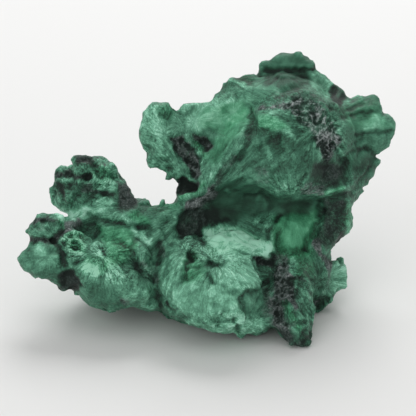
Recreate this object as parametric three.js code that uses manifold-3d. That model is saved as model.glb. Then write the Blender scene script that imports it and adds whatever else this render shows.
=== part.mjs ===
// A hand specimen of fibrous malachite: one grown-together cluster of silky sprays with a dark crust,
// resting on the worn spots of its underside. Millimetres, +Z up, origin on the resting plane at the
// middle of the bounding box.
//
// The lump is described in its show frame, as it is seen from its best side: across (to the right),
// up (along the show face) and out (towards the viewer). The show frame leans back by LEAN, which is
// how the specimen sits. Each feature is a tapered limb between two or more places, and the limbs melt
// together as the botryoidal sprays of the mineral do.

import * as THREE from "three";
import { ImprovedNoise } from "three/addons/math/ImprovedNoise.js";
import { mergeVertices } from "three/addons/utils/BufferGeometryUtils.js";
import Module from "manifold-3d";

// Driving dimensions, in millimetres.
const LEAN = THREE.MathUtils.degToRad(25); // how far the show face leans back from upright
const FLOOR = 2.5; // height of the resting plane above the show frame's origin
const CELL = 1.53; // spacing of the grid that the skin is found on
const MELT = 3.0; // how softly the masses run into each other
const SCOOP = 2.0; // how softly a hollow's rim is rounded
const CREST_MELT = 1.2; // how softly a crest stands on the mass
const WARP = 0.9; // how far the even limbs are pushed out of true
const WARP_SPAN = 9; // size of those irregularities
const CRUMPLE = 0.75; // height of the small lumps
const CRUMPLE_SPAN = 4.2; // size of the small lumps
const BLADE = 1.35; // how much thinner a flange is along out
const ROUGH_FROM = 10; // how far behind the show frame's origin the broken, rougher back begins
const ROUGH_BLEND = 6; // depth over which it takes over
const ROUGH = 0.9; // how much higher the lumps are there
const FURROW = 0.7; // share of a lump's height that the furrows between lumps are cut in
const SWELL = 1.7; // how steeply a lump rises out of its furrow
const CLEAR = 0.3; // nearest that a vertex comes to the resting plane before it is cut
const RELAX = 0.15; // share of the way that a vertex is drawn towards its neighbours
const SLAB = [200, 200, 40]; // block that cuts the worn spots flat

// Each limb is a chain of [across, up, out, radius].
const MASSES = {
  upperCore: [[6, 35, -7, 8], [14, 37, -8, 9.6], [20.6, 38, -8.6, 8.8]],
  upperBack: [[4, 37, -13, 6.4], [12, 34, -18, 7], [20, 35, -18, 6.6]],
  spineFoot: [[-2.6, 27.4, -4, 3.6], [1.4, 30.4, -3.6, 4.4], [5.8, 35.6, -3.6, 5.4]],
  spineHead: [[5.8, 35.6, -3.6, 5.4], [9.6, 41, -4.6, 6.2], [13, 44, -6, 6.6]],
  crown: [[9, 45.6, -8, 5], [13.6, 46, -8.4, 5.6], [18.4, 45, -9, 5.8]],
  leftBody: [[-4.6, 40, -7, 4.2], [3, 41, -8, 5]],
  lipMass: [[6.6, 32, -4.6, 4.6], [13, 32.2, -3, 5], [19, 31.6, -3.6, 4.8], [23.4, 31, -6, 3.8]],
  waist: [[1.4, 28, -8, 6], [12, 27, -13, 8.6], [20, 27, -14, 7]],
  neck: [[1.4, 24, -6, 6], [2, 18, -5, 7.6], [4, 13, -3, 8]],
  pillar: [[13, 22, -9, 8.6], [13, 16, -7, 8], [12, 11, -4, 7.8]],
  rightColumn: [[22.8, 28.6, -8, 4], [23.6, 24.2, -7, 3.8], [20, 17, -6, 3.4], [20.4, 11.4, -6, 3.6]],
  rightHip: [[26, 33, -11, 5.2], [25.4, 29.8, -10, 4]],
  foot: [[13.6, 14, 0.4, 4.6], [15, 8.4, 2.4, 4.4], [16.2, 3.8, 3.6, 3.2]],
  frontLobe: [[-2.6, 11, 3.6, 6.2], [3.6, 10.4, 4.6, 7.8], [8.6, 8.8, 3.4, 6.2]],
  fanTop: [[-0.4, 16.6, 0.6, 4.6], [6, 17, 0.4, 5.2], [9.8, 16.2, 0, 4]],
  armRoot: [[-7, 13.6, 0, 7], [-12, 13.8, 0.4, 7], [-17.6, 13.2, 0.4, 6.6], [-22, 14.2, -0.4, 5.8]],
  armTop: [[-4, 20.6, -5, 5], [-10, 20.4, -4.6, 5.8], [-15.6, 22.4, -5, 5.2], [-19.8, 26, -6, 5.2]],
  armEnd: [[-17.6, 14.6, 0, 6.6], [-23.4, 16.6, 0.4, 5.4], [-29, 16.2, 1.2, 4.2]],
  lowerCluster: [[-29.8, 21.5, -0.4, 3.7], [-26, 21, 0, 3.2]],
  armTip: [[-30.6, 17.4, 1, 2.6], [-34, 16.2, 1, 0.9]],
  clusterBase: [[-23.6, 29.8, -6.4, 5], [-20.8, 29.2, -6.4, 4]],
  clusterKnobs: [[-26.2, 28.4, -5, 2.6], [-25.2, 32.9, -6.6, 2.6]],
  clusterBrow: [[-25.2, 32.9, -6.6, 2.6], [-22.6, 33.9, -6.6, 2], [-19.4, 33.2, -6.4, 1.7]],
  clusterShoulder: [[-17.4, 31, -6.4, 2.2], [-15.6, 28.6, -5.6, 2]],
  base: [[-5, 14, -9, 7.4], [6, 15, -13, 8.4], [15, 16, -14, 7.6]],
  armBack: [[-21, 18, -8, 5.4], [-15, 19, -11, 6], [-8, 20, -12, 6.4]],
};

// Flanges are thinner along out than along the other two.
const FLANGES = {
  topKnob: [[11.4, 52.2, -9, 1.6], [13.6, 52.6, -9, 2.3], [16, 52.6, -9, 2.8], [18.6, 51.8, -9, 2.6]],
  leftShoulder: [[8, 47.2, -6.6, 3.4], [5, 45.4, -6, 3.2], [-0.4, 42.2, -5, 3.4], [-3.6, 42.4, -4.4, 3.4]],
  shoulderCorner: [[4.6, 48.7, -7, 2], [9.6, 49.2, -7.6, 2.2]],
  leftFlange: [[-9, 42, -3.6, 3.6], [-9.4, 39, -3.6, 3.9], [-7.6, 37, -3.6, 4.6], [-3.6, 34.8, -4, 4.4]],
  flangeCorners: [[-8, 44, -3.6, 1.9], [-11, 44, -3.6, 1.2]],
  rightFlange: [[24, 42, -9, 5], [29.6, 42.4, -9, 4.8], [32, 41.4, -9, 3.7]],
  flangeTop: [[26, 43.6, -9.6, 3.6], [31.4, 46.6, -9.6, 1.6]],
  flangeNose: [[32.4, 41.6, -9, 2.6], [34.8, 41.8, -9, 1.4], [33.8, 39, -9.6, 1.9]],
  rightSpike: [[26.6, 33.8, -10, 3.8], [32.4, 35.3, -10.4, 1]],
  lowerFlap: [[22.6, 13.4, -8, 3], [25.7, 13.7, -9, 2.2], [24.8, 11.6, -9, 2.1], [21.8, 8.4, -7, 2.9]],
  columnBump: [[24.8, 25.8, -7, 2.5], [25.2, 23.2, -7, 2.5]],
  topRidge: [[17, 50.4, -10, 2.6], [22, 49.8, -10, 2.6], [25, 47.4, -10, 2.6]],
};

// What is scooped out of the masses and flanges.
const HOLLOWS = {
  cave: [[-5, 23.2, 1.6, 2.8], [-1, 24.2, 1, 3.6], [5, 25.6, 2.2, 4], [13, 25, 3.2, 3.8], [19, 26, 0.4, 2.6]],
  greenWall: [[15.8, 21.6, 4.4, 3.8], [18, 19.2, 4.2, 2.8]],
  fanRim: [[13.2, 16.4, 5.8, 2.6], [12.4, 11.6, 8, 2.6], [11.2, 7, 8.8, 2]],
  fanFold: [[-8.4, 19.4, 3.8, 2], [-9.4, 13, 7.8, 2.2], [-8.8, 7, 8.4, 1.8]],
  armHollow: [[-14, 16.6, 7.6, 2.4], [-11, 14, 8, 1.8]],
  armGroove: [[-8, 22.8, 2, 1.6], [-15, 21.6, 2.4, 1.8], [-21.6, 22.6, 2.4, 2.6]],
  leftPit: [[-3.4, 30.2, 1.4, 1.9], [-2.8, 30.4, -1.6, 1.4]],
  leftCleft: [[-5.6, 38.4, 0.2, 1.4], [-2.8, 34, 0.6, 1.9]],
  leftCleftTop: [[-2, 39, 0.4, 1.4], [0.6, 37.4, 0.6, 1.4]],
  silkValley: [[-0.8, 33.8, 3, 2.8], [2.6, 40, 2.6, 3.8], [7, 46, 1.4, 3.4]],
  rightHollow: [[22.4, 33.4, 3, 3.4]],
  flangeHollow: [[26.6, 36.8, -1, 3.2], [29, 38.6, -3.2, 1.8]],
  browHollow: [[10.6, 41.6, 4.2, 1.8], [12.4, 43, 4, 1.8]],
  sideNotch: [[25.9, 17.9, 8, 2.2], [26.1, 17.9, -24, 2.2]],
  spikeNotch: [[33.4, 36.8, 2, 0.7], [33.6, 36.8, -22, 0.7]],
  shoulderNotch: [[-5.7, 46.6, 4, 1.7], [-5.8, 46.7, -14, 1.7]],
  bay: [[-9.6, 30.1, 8, 2.9], [-9.6, 30.1, -26, 2.9]],
  bayMouth: [[-14.4, 34.6, 8, 3.2], [-14.4, 34.6, -26, 3.2]],
  clusterPits: [[-22.4, 31.4, 0, 1.7], [-24.4, 29.6, 0, 1], [-26.8, 31, -1.4, 1.5]],
  knobPits: [[-24.2, 19.4, 6.2, 1.5], [-30.2, 23.4, 3.4, 1.5]],
  clusterNotch: [[-30.2, 26.8, 4, 1.1], [-30.4, 26.8, -14, 1.6]],
};

// What stands up from the scooped skin.
const CRESTS = {
  brow: [[13, 41.6, -2, 5], [18.6, 42.4, -2, 6], [22.4, 39.4, -3, 5]],
  cheek: [[10, 35, -3, 6.4], [15, 34.4, -2.6, 7]],
};

// The worn spots that the lump rests on, each reaching a little under the resting plane.
const FEET = {
  frontToe: [[16, 4, 3, 3], [16.6, 2.2, 3.6, 2.7]],
  belly: [[-3, 9, -3, 4.6], [-3.4, 8, -6, 4.2]],
  backHeel: [[17, 15.4, -14, 6], [9, 14.6, -15.6, 6]],
  armHeel: [[-19, 15.2, -9.6, 5], [-12, 14, -12, 6]],
};

const noise = new ImprovedNoise();

function smoothMin(a, b, softness) {
  const near = Math.max(softness - Math.abs(a - b), 0) / softness;
  return Math.min(a, b) - (near * near * softness) / 4;
}

function dot(a, b) {
  return a[0] * b[0] + a[1] * b[1] + a[2] * b[2];
}

// Distance from a place to one tapered limb, whose stretches run from each place to the next. A limb
// thinned along out is measured in a space stretched along out.
function limbDistance(chain, x, y, z, thinning = 1) {
  let best = Infinity;
  for (let i = 0; i < Math.max(chain.length - 1, 1); i++) {
    const [ax, ay, az, ar] = chain[i];
    const [bx, by, bz, br] = chain[Math.min(i + 1, chain.length - 1)];
    const along = [bx - ax, by - ay, (bz - az) * thinning];
    const from = [x - ax, y - ay, (z - az) * thinning];
    const t = THREE.MathUtils.clamp(dot(from, along) / (dot(along, along) || 1), 0, 1);
    const reach = Math.hypot(...from.map((f, n) => f - t * along[n]));
    best = Math.min(best, reach - ar - t * (br - ar));
  }
  return best;
}

// Signed distance to the lump's skin in the show frame: negative inside.
function field(across, up, out) {
  const warp = (seed) => WARP * noise.noise(across / WARP_SPAN + seed, up / WARP_SPAN, out / WARP_SPAN);
  const x = across + warp(11);
  const y = up + warp(37);
  const z = out + warp(71);
  const melt = (limbs, start, softness, thinning) =>
    Object.values(limbs).reduce(
      (d, chain) => smoothMin(d, limbDistance(chain, x, y, z, thinning), softness), start);
  let d = melt(MASSES, Infinity, MELT);
  d = melt(FLANGES, d, CREST_MELT, BLADE);
  for (const chain of Object.values(HOLLOWS)) {
    d = -smoothMin(-d, limbDistance(chain, x, y, z), SCOOP);
  }
  d = melt(CRESTS, d, MELT / 2);
  d = melt(FEET, d, MELT);
  const behind = THREE.MathUtils.smoothstep(-out, ROUGH_FROM, ROUGH_FROM + ROUGH_BLEND);
  const lumps = Math.abs(noise.noise(across / CRUMPLE_SPAN, up / CRUMPLE_SPAN + 5, out / CRUMPLE_SPAN));
  return d + (CRUMPLE + behind * ROUGH) * (FURROW - SWELL * lumps);
}

// The box of the show frame that holds every limb with room to spare.
function limbBox() {
  const box = new THREE.Box3();
  for (const chain of [MASSES, FLANGES, CRESTS, FEET].flatMap(Object.values).flat()) {
    const [x, y, z, r] = chain;
    box.expandByPoint(new THREE.Vector3(x, y, z).addScalar(r));
    box.expandByPoint(new THREE.Vector3(x, y, z).addScalar(-r));
  }
  return box.expandByScalar(2 * CELL + WARP + CRUMPLE);
}

// Naive surface nets: one vertex in each grid cell that the skin passes through, pulled onto the skin,
// and one quad round each grid edge that the skin crosses.
function skinGeometry(distance, box, cell) {
  const size = box.getSize(new THREE.Vector3()).divideScalar(cell).ceil().addScalar(1);
  const [nx, ny, nz] = [size.x, size.y, size.z];
  const at = (i, j, k) => (k * ny + j) * nx + i;
  const place = (i, j, k) => [box.min.x + i * cell, box.min.y + j * cell, box.min.z + k * cell];
  const value = new Float64Array(nx * ny * nz);
  for (let k = 0; k < nz; k++)
    for (let j = 0; j < ny; j++)
      for (let i = 0; i < nx; i++) value[at(i, j, k)] = distance(...place(i, j, k));

  const vertexOf = new Int32Array(value.length).fill(-1);
  const positions = [];
  for (let k = 0; k < nz - 1; k++)
    for (let j = 0; j < ny - 1; j++)
      for (let i = 0; i < nx - 1; i++) {
        const vertex = cellVertex(value, at, place, i, j, k);
        if (!vertex) continue;
        pullOntoSkin(distance, vertex, cell);
        vertexOf[at(i, j, k)] = positions.length / 3;
        positions.push(...vertex);
      }

  const triangles = [];
  const axes = [[1, 0, 0], [0, 1, 0], [0, 0, 1]];
  for (let k = 1; k < nz - 1; k++)
    for (let j = 1; j < ny - 1; j++)
      for (let i = 1; i < nx - 1; i++)
        axes.forEach(([x, y, z], axis) => {
          const here = value[at(i, j, k)] < 0;
          if (here === value[at(i + x, j + y, k + z)] < 0) return;
          const [u, v] = [axes[(axis + 1) % 3], axes[(axis + 2) % 3]];
          const cellAt = (a, b) => vertexOf[
            at(i - a * u[0] - b * v[0], j - a * u[1] - b * v[1], k - a * u[2] - b * v[2])];
          const ring = [cellAt(0, 0), cellAt(1, 0), cellAt(1, 1), cellAt(0, 1)];
          if (!here) ring.reverse();
          pushQuad(triangles, positions, ring);
        });
  return new THREE.BufferGeometry()
    .setAttribute("position", new THREE.Float32BufferAttribute(positions, 3))
    .setIndex(triangles);
}

// The mean of the places where the skin crosses a cell's edges, or nothing if it crosses none.
function cellVertex(value, at, place, i, j, k) {
  const corners = [];
  for (let c = 0; c < 8; c++) corners.push([i + (c & 1), j + ((c >> 1) & 1), k + (c >> 2)]);
  const sum = [0, 0, 0];
  let crossings = 0;
  for (let a = 0; a < 8; a++)
    for (const bit of [1, 2, 4]) {
      const b = a | bit;
      if (b === a) continue;
      const [va, vb] = [value[at(...corners[a])], value[at(...corners[b])]];
      if (va < 0 === vb < 0) continue;
      const [pa, pb, t] = [place(...corners[a]), place(...corners[b]), va / (va - vb)];
      pa.forEach((p, n) => (sum[n] += p + t * (pb[n] - p)));
      crossings++;
    }
  return crossings ? sum.map((s) => s / crossings) : null;
}

// Steps a vertex along the slope of the field until it lies on the skin, but never out of its cell.
function pullOntoSkin(distance, vertex, cell) {
  const start = [...vertex];
  const probe = 0.05 * cell;
  for (let step = 0; step < 3; step++) {
    const d = distance(...vertex);
    const slope = [0, 1, 2].map((n) => {
      const ahead = [...vertex];
      ahead[n] += probe;
      return (distance(...ahead) - d) / probe;
    });
    const steep = slope.reduce((s, g) => s + g * g, 0) || 1;
    for (let n = 0; n < 3; n++) {
      const moved = vertex[n] - (d * slope[n]) / steep;
      vertex[n] = THREE.MathUtils.clamp(moved, start[n] - 0.4 * cell, start[n] + 0.4 * cell);
    }
  }
}

// Two triangles, split along the quad's shorter diagonal.
function pushQuad(triangles, positions, [a, b, c, d]) {
  const gap = (p, q) => Math.hypot(...[0, 1, 2].map((n) => positions[3 * p + n] - positions[3 * q + n]));
  if (gap(a, c) < gap(b, d)) triangles.push(a, b, c, a, c, d);
  else triangles.push(a, b, d, b, c, d);
}

const wasm = await Module();
wasm.setup();

function toSolid(geometry) {
  const bare = new THREE.BufferGeometry().setAttribute("position", geometry.getAttribute("position"));
  if (geometry.index) bare.setIndex(geometry.index);
  const merged = mergeVertices(bare, 1e-4);
  return new wasm.Manifold(new wasm.Mesh({
    numProp: 3,
    vertProperties: merged.attributes.position.array,
    triVerts: new Uint32Array(merged.index.array),
  }));
}

function toGeometry(solid) {
  const mesh = solid.getMesh();
  return new THREE.BufferGeometry()
    .setAttribute("position", new THREE.BufferAttribute(new Float32Array(mesh.vertProperties), 3))
    .setIndex(new THREE.BufferAttribute(new Uint32Array(mesh.triVerts), 1));
}

// Draws each vertex above the resting plane a little towards its neighbours, which parts the places
// where two folds of the skin met in one line.
function relax(geometry) {
  const position = geometry.getAttribute("position");
  const around = Array.from({ length: position.count }, () => new Set());
  const corners = geometry.index.array;
  for (let i = 0; i < corners.length; i += 3)
    for (const [a, b] of [[0, 1], [1, 2], [2, 0]]) {
      around[corners[i + a]].add(corners[i + b]);
      around[corners[i + b]].add(corners[i + a]);
    }
  const before = Array.from({ length: position.count }, (_, i) =>
    new THREE.Vector3().fromBufferAttribute(position, i));
  before.forEach((vertex, i) => {
    if (vertex.z <= 0) return;
    const mean = new THREE.Vector3();
    for (const n of around[i]) mean.addScaledVector(before[n], 1 / around[i].size);
    const moved = vertex.clone().lerp(mean, RELAX);
    position.setXYZ(i, ...moved);
  });
  return geometry;
}

// Moves what almost touches the resting plane clear of it, so that the cut leaves no slivers.
function clearPlane(position) {
  for (let i = 0; i < position.count; i++) {
    const z = position.getZ(i);
    if (Math.abs(z) < CLEAR) position.setZ(i, z < 0 ? -CLEAR : CLEAR);
  }
}

// Turns the show frame so that the lump leans back, and cuts its worn spots flat on the resting plane.
function restOnFloor(skin) {
  const upright = new THREE.Matrix4().makeRotationX(Math.PI / 2 - LEAN);
  skin.applyMatrix4(upright);
  skin.translate(0, 0, -FLOOR);
  clearPlane(skin.getAttribute("position"));
  const slab = new THREE.BoxGeometry(...SLAB).translate(0, 0, -SLAB[2] / 2);
  const cut = relax(toGeometry(toSolid(skin).subtract(toSolid(slab))));
  cut.computeBoundingBox();
  const middle = cut.boundingBox.getCenter(new THREE.Vector3());
  return cut.translate(-middle.x, -middle.y, 0);
}

const specimen = new THREE.Mesh(
  restOnFloor(skinGeometry(field, limbBox(), CELL)),
  new THREE.MeshStandardMaterial({ color: 0x2f7a56, roughness: 0.62, metalness: 0 }),
);
specimen.name = "malachite";

const root = new THREE.Group();
root.add(specimen);

export default root;
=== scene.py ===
# %% [markdown]
# # A hand specimen of fibrous malachite
#
# Malachite grows as sprays: fine green fibres that all start from one spot and fan out until they
# meet the fibres of the next spray. Along the fibres the stone looks silky, and across their ends
# it looks like velvet. This lump is many sprays grown together, with open tubes and frilly knobs at
# its left end and a dull purple-black crust in its folds.
#
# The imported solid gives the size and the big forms. The looks are made in three rounds, the way a
# carver works: join the small growths to the lump, cut the folds and pits, then draw the fibres.

# %% Load the frame
import math

import bmesh
import bpy
import numpy as np
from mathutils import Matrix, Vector
from mathutils.bvhtree import BVHTree
from mathutils.kdtree import KDTree


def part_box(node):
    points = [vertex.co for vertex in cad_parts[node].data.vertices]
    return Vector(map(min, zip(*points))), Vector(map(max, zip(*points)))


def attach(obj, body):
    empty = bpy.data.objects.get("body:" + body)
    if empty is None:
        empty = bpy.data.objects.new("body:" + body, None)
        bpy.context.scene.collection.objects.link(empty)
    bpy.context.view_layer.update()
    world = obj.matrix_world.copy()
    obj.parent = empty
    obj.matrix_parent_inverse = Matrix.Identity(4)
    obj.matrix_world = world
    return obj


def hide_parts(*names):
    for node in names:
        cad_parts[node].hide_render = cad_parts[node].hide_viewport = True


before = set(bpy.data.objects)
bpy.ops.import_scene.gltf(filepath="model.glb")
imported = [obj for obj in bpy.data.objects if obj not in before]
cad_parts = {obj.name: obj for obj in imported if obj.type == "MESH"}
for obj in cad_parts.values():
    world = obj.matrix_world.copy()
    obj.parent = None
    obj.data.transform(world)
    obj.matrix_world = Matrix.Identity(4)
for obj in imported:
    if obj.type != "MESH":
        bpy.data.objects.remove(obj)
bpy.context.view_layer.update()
MM = 0.001
low, high = (np.array(corner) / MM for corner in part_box("malachite"))
print("solid, mm:", (high - low).round(1))

# %% [markdown]
# ## The show face
#
# A specimen has a best side. Here it leans back by 25 degrees, so places on it are named the way a
# collector points at them: millimetres across to the right, up along the leaning face, and out
# towards the viewer. Every fold and patch below is placed in this show frame, and it follows the
# solid's box if the solid changes.

# %% The show frame
LEAN = math.radians(25)
RIGHT = np.array([1.0, 0.0, 0.0])
UP = np.array([0.0, math.sin(LEAN), math.cos(LEAN)])
OUT = np.array([0.0, -math.cos(LEAN), math.sin(LEAN)])
SHOW_SHIFT = np.array([-0.42, -14.84])  # from the middle of the box to the show frame's zero, mm
SHOW_DROP = 2.5  # and how far that zero lies under the floor
FOOT = np.append(((low + high) / 2)[:2] + SHOW_SHIFT, low[2] - SHOW_DROP)
VIEWER = np.array([0.37, 26.0])  # the eye is straight in front of this place on the show face
ARM = 420.0  # how far away the eye is, in millimetres


def to_show(points):
    """Millimetres across, up and out of points given in metres."""
    return (np.asarray(points) / MM - FOOT) @ np.stack([RIGHT, UP, OUT], 1)


def from_show(places):
    """Points in metres of places given across, up and out."""
    return (np.asarray(places) @ np.stack([RIGHT, UP, OUT]) + FOOT) * MM


def as_seen(points):
    """Where points appear on the show face to the viewer's eye: nearer places spread a little."""
    show = to_show(points)
    return VIEWER + (show[:, :2] - VIEWER) * (ARM / (ARM - show[:, 2]))[:, None]


# %% [markdown]
# ## Noise
#
# Nothing in stone is even. One small noise function serves every step: random values on a grid,
# blended smoothly between the grid points. It is seeded by its own arithmetic, so each run gives
# the same stone.

# %% A seeded noise
def lattice(ix, iy, iz, seed):
    """A repeatable random value from -1 to 1 for each whole-number place."""
    mixed = (ix * 374761393 + iy * 668265263 + iz * 1274126177 + seed * 362437) & 0xFFFFFFFF
    mixed = ((mixed ^ (mixed >> 13)) * 1103515245) & 0xFFFFFFFF
    return ((mixed ^ (mixed >> 16)) & 0xFFFF) / 32767.5 - 1.0


def noise(places, span, seed=0):
    """Smooth noise from about -1 to 1 whose lumps are span across."""
    p = np.asarray(places, float) / span
    if p.shape[1] == 2:
        p = np.column_stack([p, np.zeros(len(p))])
    cell = np.floor(p).astype(np.int64)
    f = p - cell
    f = f * f * f * (f * (f * 6 - 15) + 10)
    total = np.zeros(len(p))
    for dx in (0, 1):
        for dy in (0, 1):
            for dz in (0, 1):
                weight = (
                    (f[:, 0] if dx else 1 - f[:, 0])
                    * (f[:, 1] if dy else 1 - f[:, 1])
                    * (f[:, 2] if dz else 1 - f[:, 2])
                )
                total += weight * lattice(cell[:, 0] + dx, cell[:, 1] + dy, cell[:, 2] + dz, seed)
    return total


def layered(places, span, seed=0, layers=3):
    """Noise with finer noise on top of it."""
    return sum(noise(places, span / 2**n, seed + n) / 2**n for n in range(layers)) / 1.6


def crests(places, span, seed=0):
    """Noise with sharp crest lines: 1 on the crests and about -1 between them."""
    return 1 - 2 * np.abs(noise(places, span, seed))


def ramp(value, start, end):
    """0 before start, 1 after end, smooth between."""
    t = np.clip((value - start) / (end - start), 0, 1)
    return t * t * (3 - 2 * t)


print("noise:", noise(np.array([[1.5, 2.5, 3.5]]), 1.0).round(3))

# %% [markdown]
# ## The blank
#
# The solid is faceted, with flats about 1.5 mm across. A copy of it is welded, given a fine even
# skin by a voxel remesh, and rubbed smooth. Plain smoothing would shrink the stone, so every second
# round pushes back out by a little more than the last one pulled in: the facets go and the size
# stays.

# %% Weld, remesh and rub the blank smooth
BLANK_VOXEL = 0.5
RUB_ROUNDS, RUB_IN, RUB_OUT = 9, 0.6, -0.63
WELD = 0.001  # corners nearer than this are one corner, in millimetres


def new_object(name, mesh):
    """A mesh object in the scene, standing at the origin."""
    made = bpy.data.objects.new(name, mesh)
    bpy.context.scene.collection.objects.link(made)
    return made


def settled(thing, name):
    """A plain object in the thing's place, with its modifiers worked into the mesh."""
    depsgraph = bpy.context.evaluated_depsgraph_get()
    mesh = bpy.data.meshes.new_from_object(thing.evaluated_get(depsgraph), depsgraph=depsgraph)
    bpy.data.objects.remove(thing)
    return new_object(name, mesh)


def remeshed(thing, voxel):
    """The object with one closed skin of faces about voxel millimetres across."""
    modifier = thing.modifiers.new("one skin", "REMESH")
    modifier.mode = "VOXEL"
    modifier.voxel_size = voxel * MM
    modifier.adaptivity = 0
    return settled(thing, thing.name)


def get_points(thing):
    """The object's vertices as an array, in metres."""
    co = np.zeros(len(thing.data.vertices) * 3)
    thing.data.vertices.foreach_get("co", co)
    return co.reshape(-1, 3)


def set_points(thing, points):
    """Puts the vertices at the given places, none of them under the floor."""
    kept = np.array(points)
    kept[:, 2] = np.maximum(kept[:, 2], 0)
    thing.data.vertices.foreach_set("co", kept.ravel())
    thing.data.update()


def get_normals(thing):
    """The object's vertex normals as an array."""
    vectors = np.zeros(len(thing.data.vertices) * 3)
    thing.data.vertex_normals.foreach_get("vector", vectors)
    return vectors.reshape(-1, 3)


def edge_list(thing):
    """Pairs of neighbouring vertices."""
    pairs = np.zeros(len(thing.data.edges) * 2, int)
    thing.data.edges.foreach_get("vertices", pairs)
    return pairs.reshape(-1, 2)


def averaged(edges, values, amounts):
    """Values moved towards the mean of their neighbours once for each amount in the list."""
    count = len(values)
    out = np.array(values, float).reshape(count, -1)
    near = np.bincount(edges.ravel(), minlength=count).astype(float)
    for amount in amounts:
        for column in out.T:
            total = np.bincount(edges[:, 0], column[edges[:, 1]], count)
            total += np.bincount(edges[:, 1], column[edges[:, 0]], count)
            column += amount * (total / near - column)
    return out if out.shape[1] > 1 else out[:, 0]


def largest_piece(thing):
    """The object without any loose crumbs."""
    bm = bmesh.new()
    bm.from_mesh(thing.data)
    left = set(bm.verts)
    pieces = []
    while left:
        piece, rim = set(), {next(iter(left))}
        while rim:
            piece |= rim
            rim = {e.other_vert(v) for v in rim for e in v.link_edges} - piece
        pieces.append(piece)
        left -= piece
    pieces.sort(key=len)
    for piece in pieces[:-1]:
        bmesh.ops.delete(bm, geom=list(piece), context="VERTS")
    bm.to_mesh(thing.data)
    bm.free()
    print("loose crumbs dropped:", len(pieces) - 1)


def welded_copy():
    """The solid's mesh with its loose triangles joined."""
    bm = bmesh.new()
    bm.from_mesh(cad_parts["malachite"].data)
    bmesh.ops.remove_doubles(bm, verts=bm.verts, dist=WELD * MM)
    mesh = bpy.data.meshes.new("blank")
    bm.to_mesh(mesh)
    bm.free()
    return mesh


blank = remeshed(new_object("blank", welded_copy()), BLANK_VOXEL)
set_points(blank, averaged(edge_list(blank), get_points(blank), [RUB_IN, RUB_OUT] * RUB_ROUNDS))
print("blank faces:", len(blank.data.polygons))

# %% [markdown]
# ## Trueing the outline
#
# The solid is a little full in some places and short in others. A few soft pulls set the outline:
# each takes hold of the stone round one place on the show face and moves it a short way across and
# up, most in the middle of the hold and nothing at its rim.

# %% Pull the outline
PULLS = [  # (across, up, reach, how far across, how far up)
    (-26.5, 36.0, 3.6, 1.0, -2.4), (-25.0, 35.8, 2.0, 0.4, -1.0), (-29.5, 30.2, 2.6, 1.2, 0.0),
    (-22.0, 36.6, 3.0, 0.2, -1.7), (-18.0, 35.2, 2.4, 0.2, -0.6), (-29.0, 32.6, 3.0, 0.9, 0.0),
    (-33.6, 19.6, 2.0, 0.9, 0.0), (-33.6, 22.4, 2.4, -0.9, 0.2), (-30.4, 25.0, 2.8, 0.0, 0.9),
    (-35.4, 15.8, 2.6, 0.5, 0.8), (-24.4, 9.4, 3.2, 0.0, 1.3), (-14.0, 5.4, 5.5, 0.0, 1.1),
    (-8.5, 4.6, 4.0, 0.0, 0.2), (-3.4, 3.6, 3.5, 0.0, -0.4), (5.6, 2.4, 4.0, 0.0, 0.3),
    (12.6, 2.2, 3.0, 0.0, 1.4), (20.6, 3.0, 3.4, -0.9, 0.0), (20.4, 5.6, 1.8, -0.8, 0.0),
    (20.2, 1.4, 1.8, -0.5, 0.0), (24.4, 7.0, 3.0, -0.9, 1.5), (25.4, 9.4, 2.2, 0.3, 1.6),
    (23.9, 15.0, 1.5, 0.0, 1.0), (25.0, 17.5, 1.6, 0.0, -0.8), (26.3, 15.0, 1.2, 0.0, 0.6),
    (26.2, 11.6, 1.4, 0.1, -0.6), (22.8, 8.4, 1.8, 0.4, -0.3), (24.7, 17.0, 1.5, 0.0, -0.8),
    (22.4, 6.2, 1.5, -0.5, 0.6), (24.4, 8.6, 1.8, 0.0, 0.8), (16.8, 55.8, 1.8, 0.0, -0.6),
    (-26.0, 11.2, 2.6, 0.0, -0.6), (32.4, 37.6, 2.4, 0.2, -1.0), (31.1, 37.4, 1.5, 0.4, -1.1),
    (30.4, 36.2, 1.6, 1.5, 0.0), (31.0, 31.6, 2.4, 0.6, 0.0), (29.2, 47.6, 1.2, 0.0, -0.5),
    (31.8, 46.4, 2.4, 0.9, 0.7), (32.2, 35.0, 2.0, 1.0, 0.2), (32.6, 44.8, 1.4, 0.5, 0.0),
    (27.0, 47.4, 2.2, 0.0, -1.2), (-4.8, 30.2, 2.4, -1.1, 0.0), (-6.8, 45.2, 1.6, 0.0, 0.5),
    (-4.9, 44.6, 1.2, 0.0, -0.2), (-3.6, 44.8, 1.8, -0.9, 0.5), (23.4, 48.8, 3.0, -0.4, -0.9),
    (14.0, 53.8, 2.4, -0.1, 0.5), (17.6, 54.4, 2.2, 0.2, 0.4), (20.2, 53.4, 1.4, -0.4, -0.2),
    (19.6, 53.2, 2.2, 0.6, 0.3), (10.6, 52.8, 1.8, -0.3, 0.4), (-10.2, 27.8, 1.6, 0.0, -0.8),
    (-12.4, 27.8, 1.0, 0.0, 0.6), (9.9, 51.0, 1.0, 0.3, -1.0), (7.4, 51.0, 2.4, 0.0, 0.3),
    (4.6, 49.6, 2.0, 0.0, 0.9), (2.4, 48.2, 2.6, -1.2, 0.3), (-12.2, 44.2, 2.0, 0.7, 0.0),
    (-12.8, 40.5, 2.6, -0.3, 0.0), (-10.2, 34.6, 2.2, -0.8, -0.8), (-7.4, 33.4, 2.0, 0.2, -1.1),
]
PULL_GAIN = 1.2  # rubbing takes some of each pull back


def pulled(points):
    """The points after every pull."""
    seen = as_seen(points)
    moved = np.array(points)
    for across, up, reach, right, upward in PULLS:
        hold = 1 - ramp(np.linalg.norm(seen - [across, up], axis=1), 0.0, reach)
        moved += np.outer(hold, (right * RIGHT + upward * UP) * MM * PULL_GAIN)
    return moved


set_points(blank, pulled(get_points(blank)))


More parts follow.
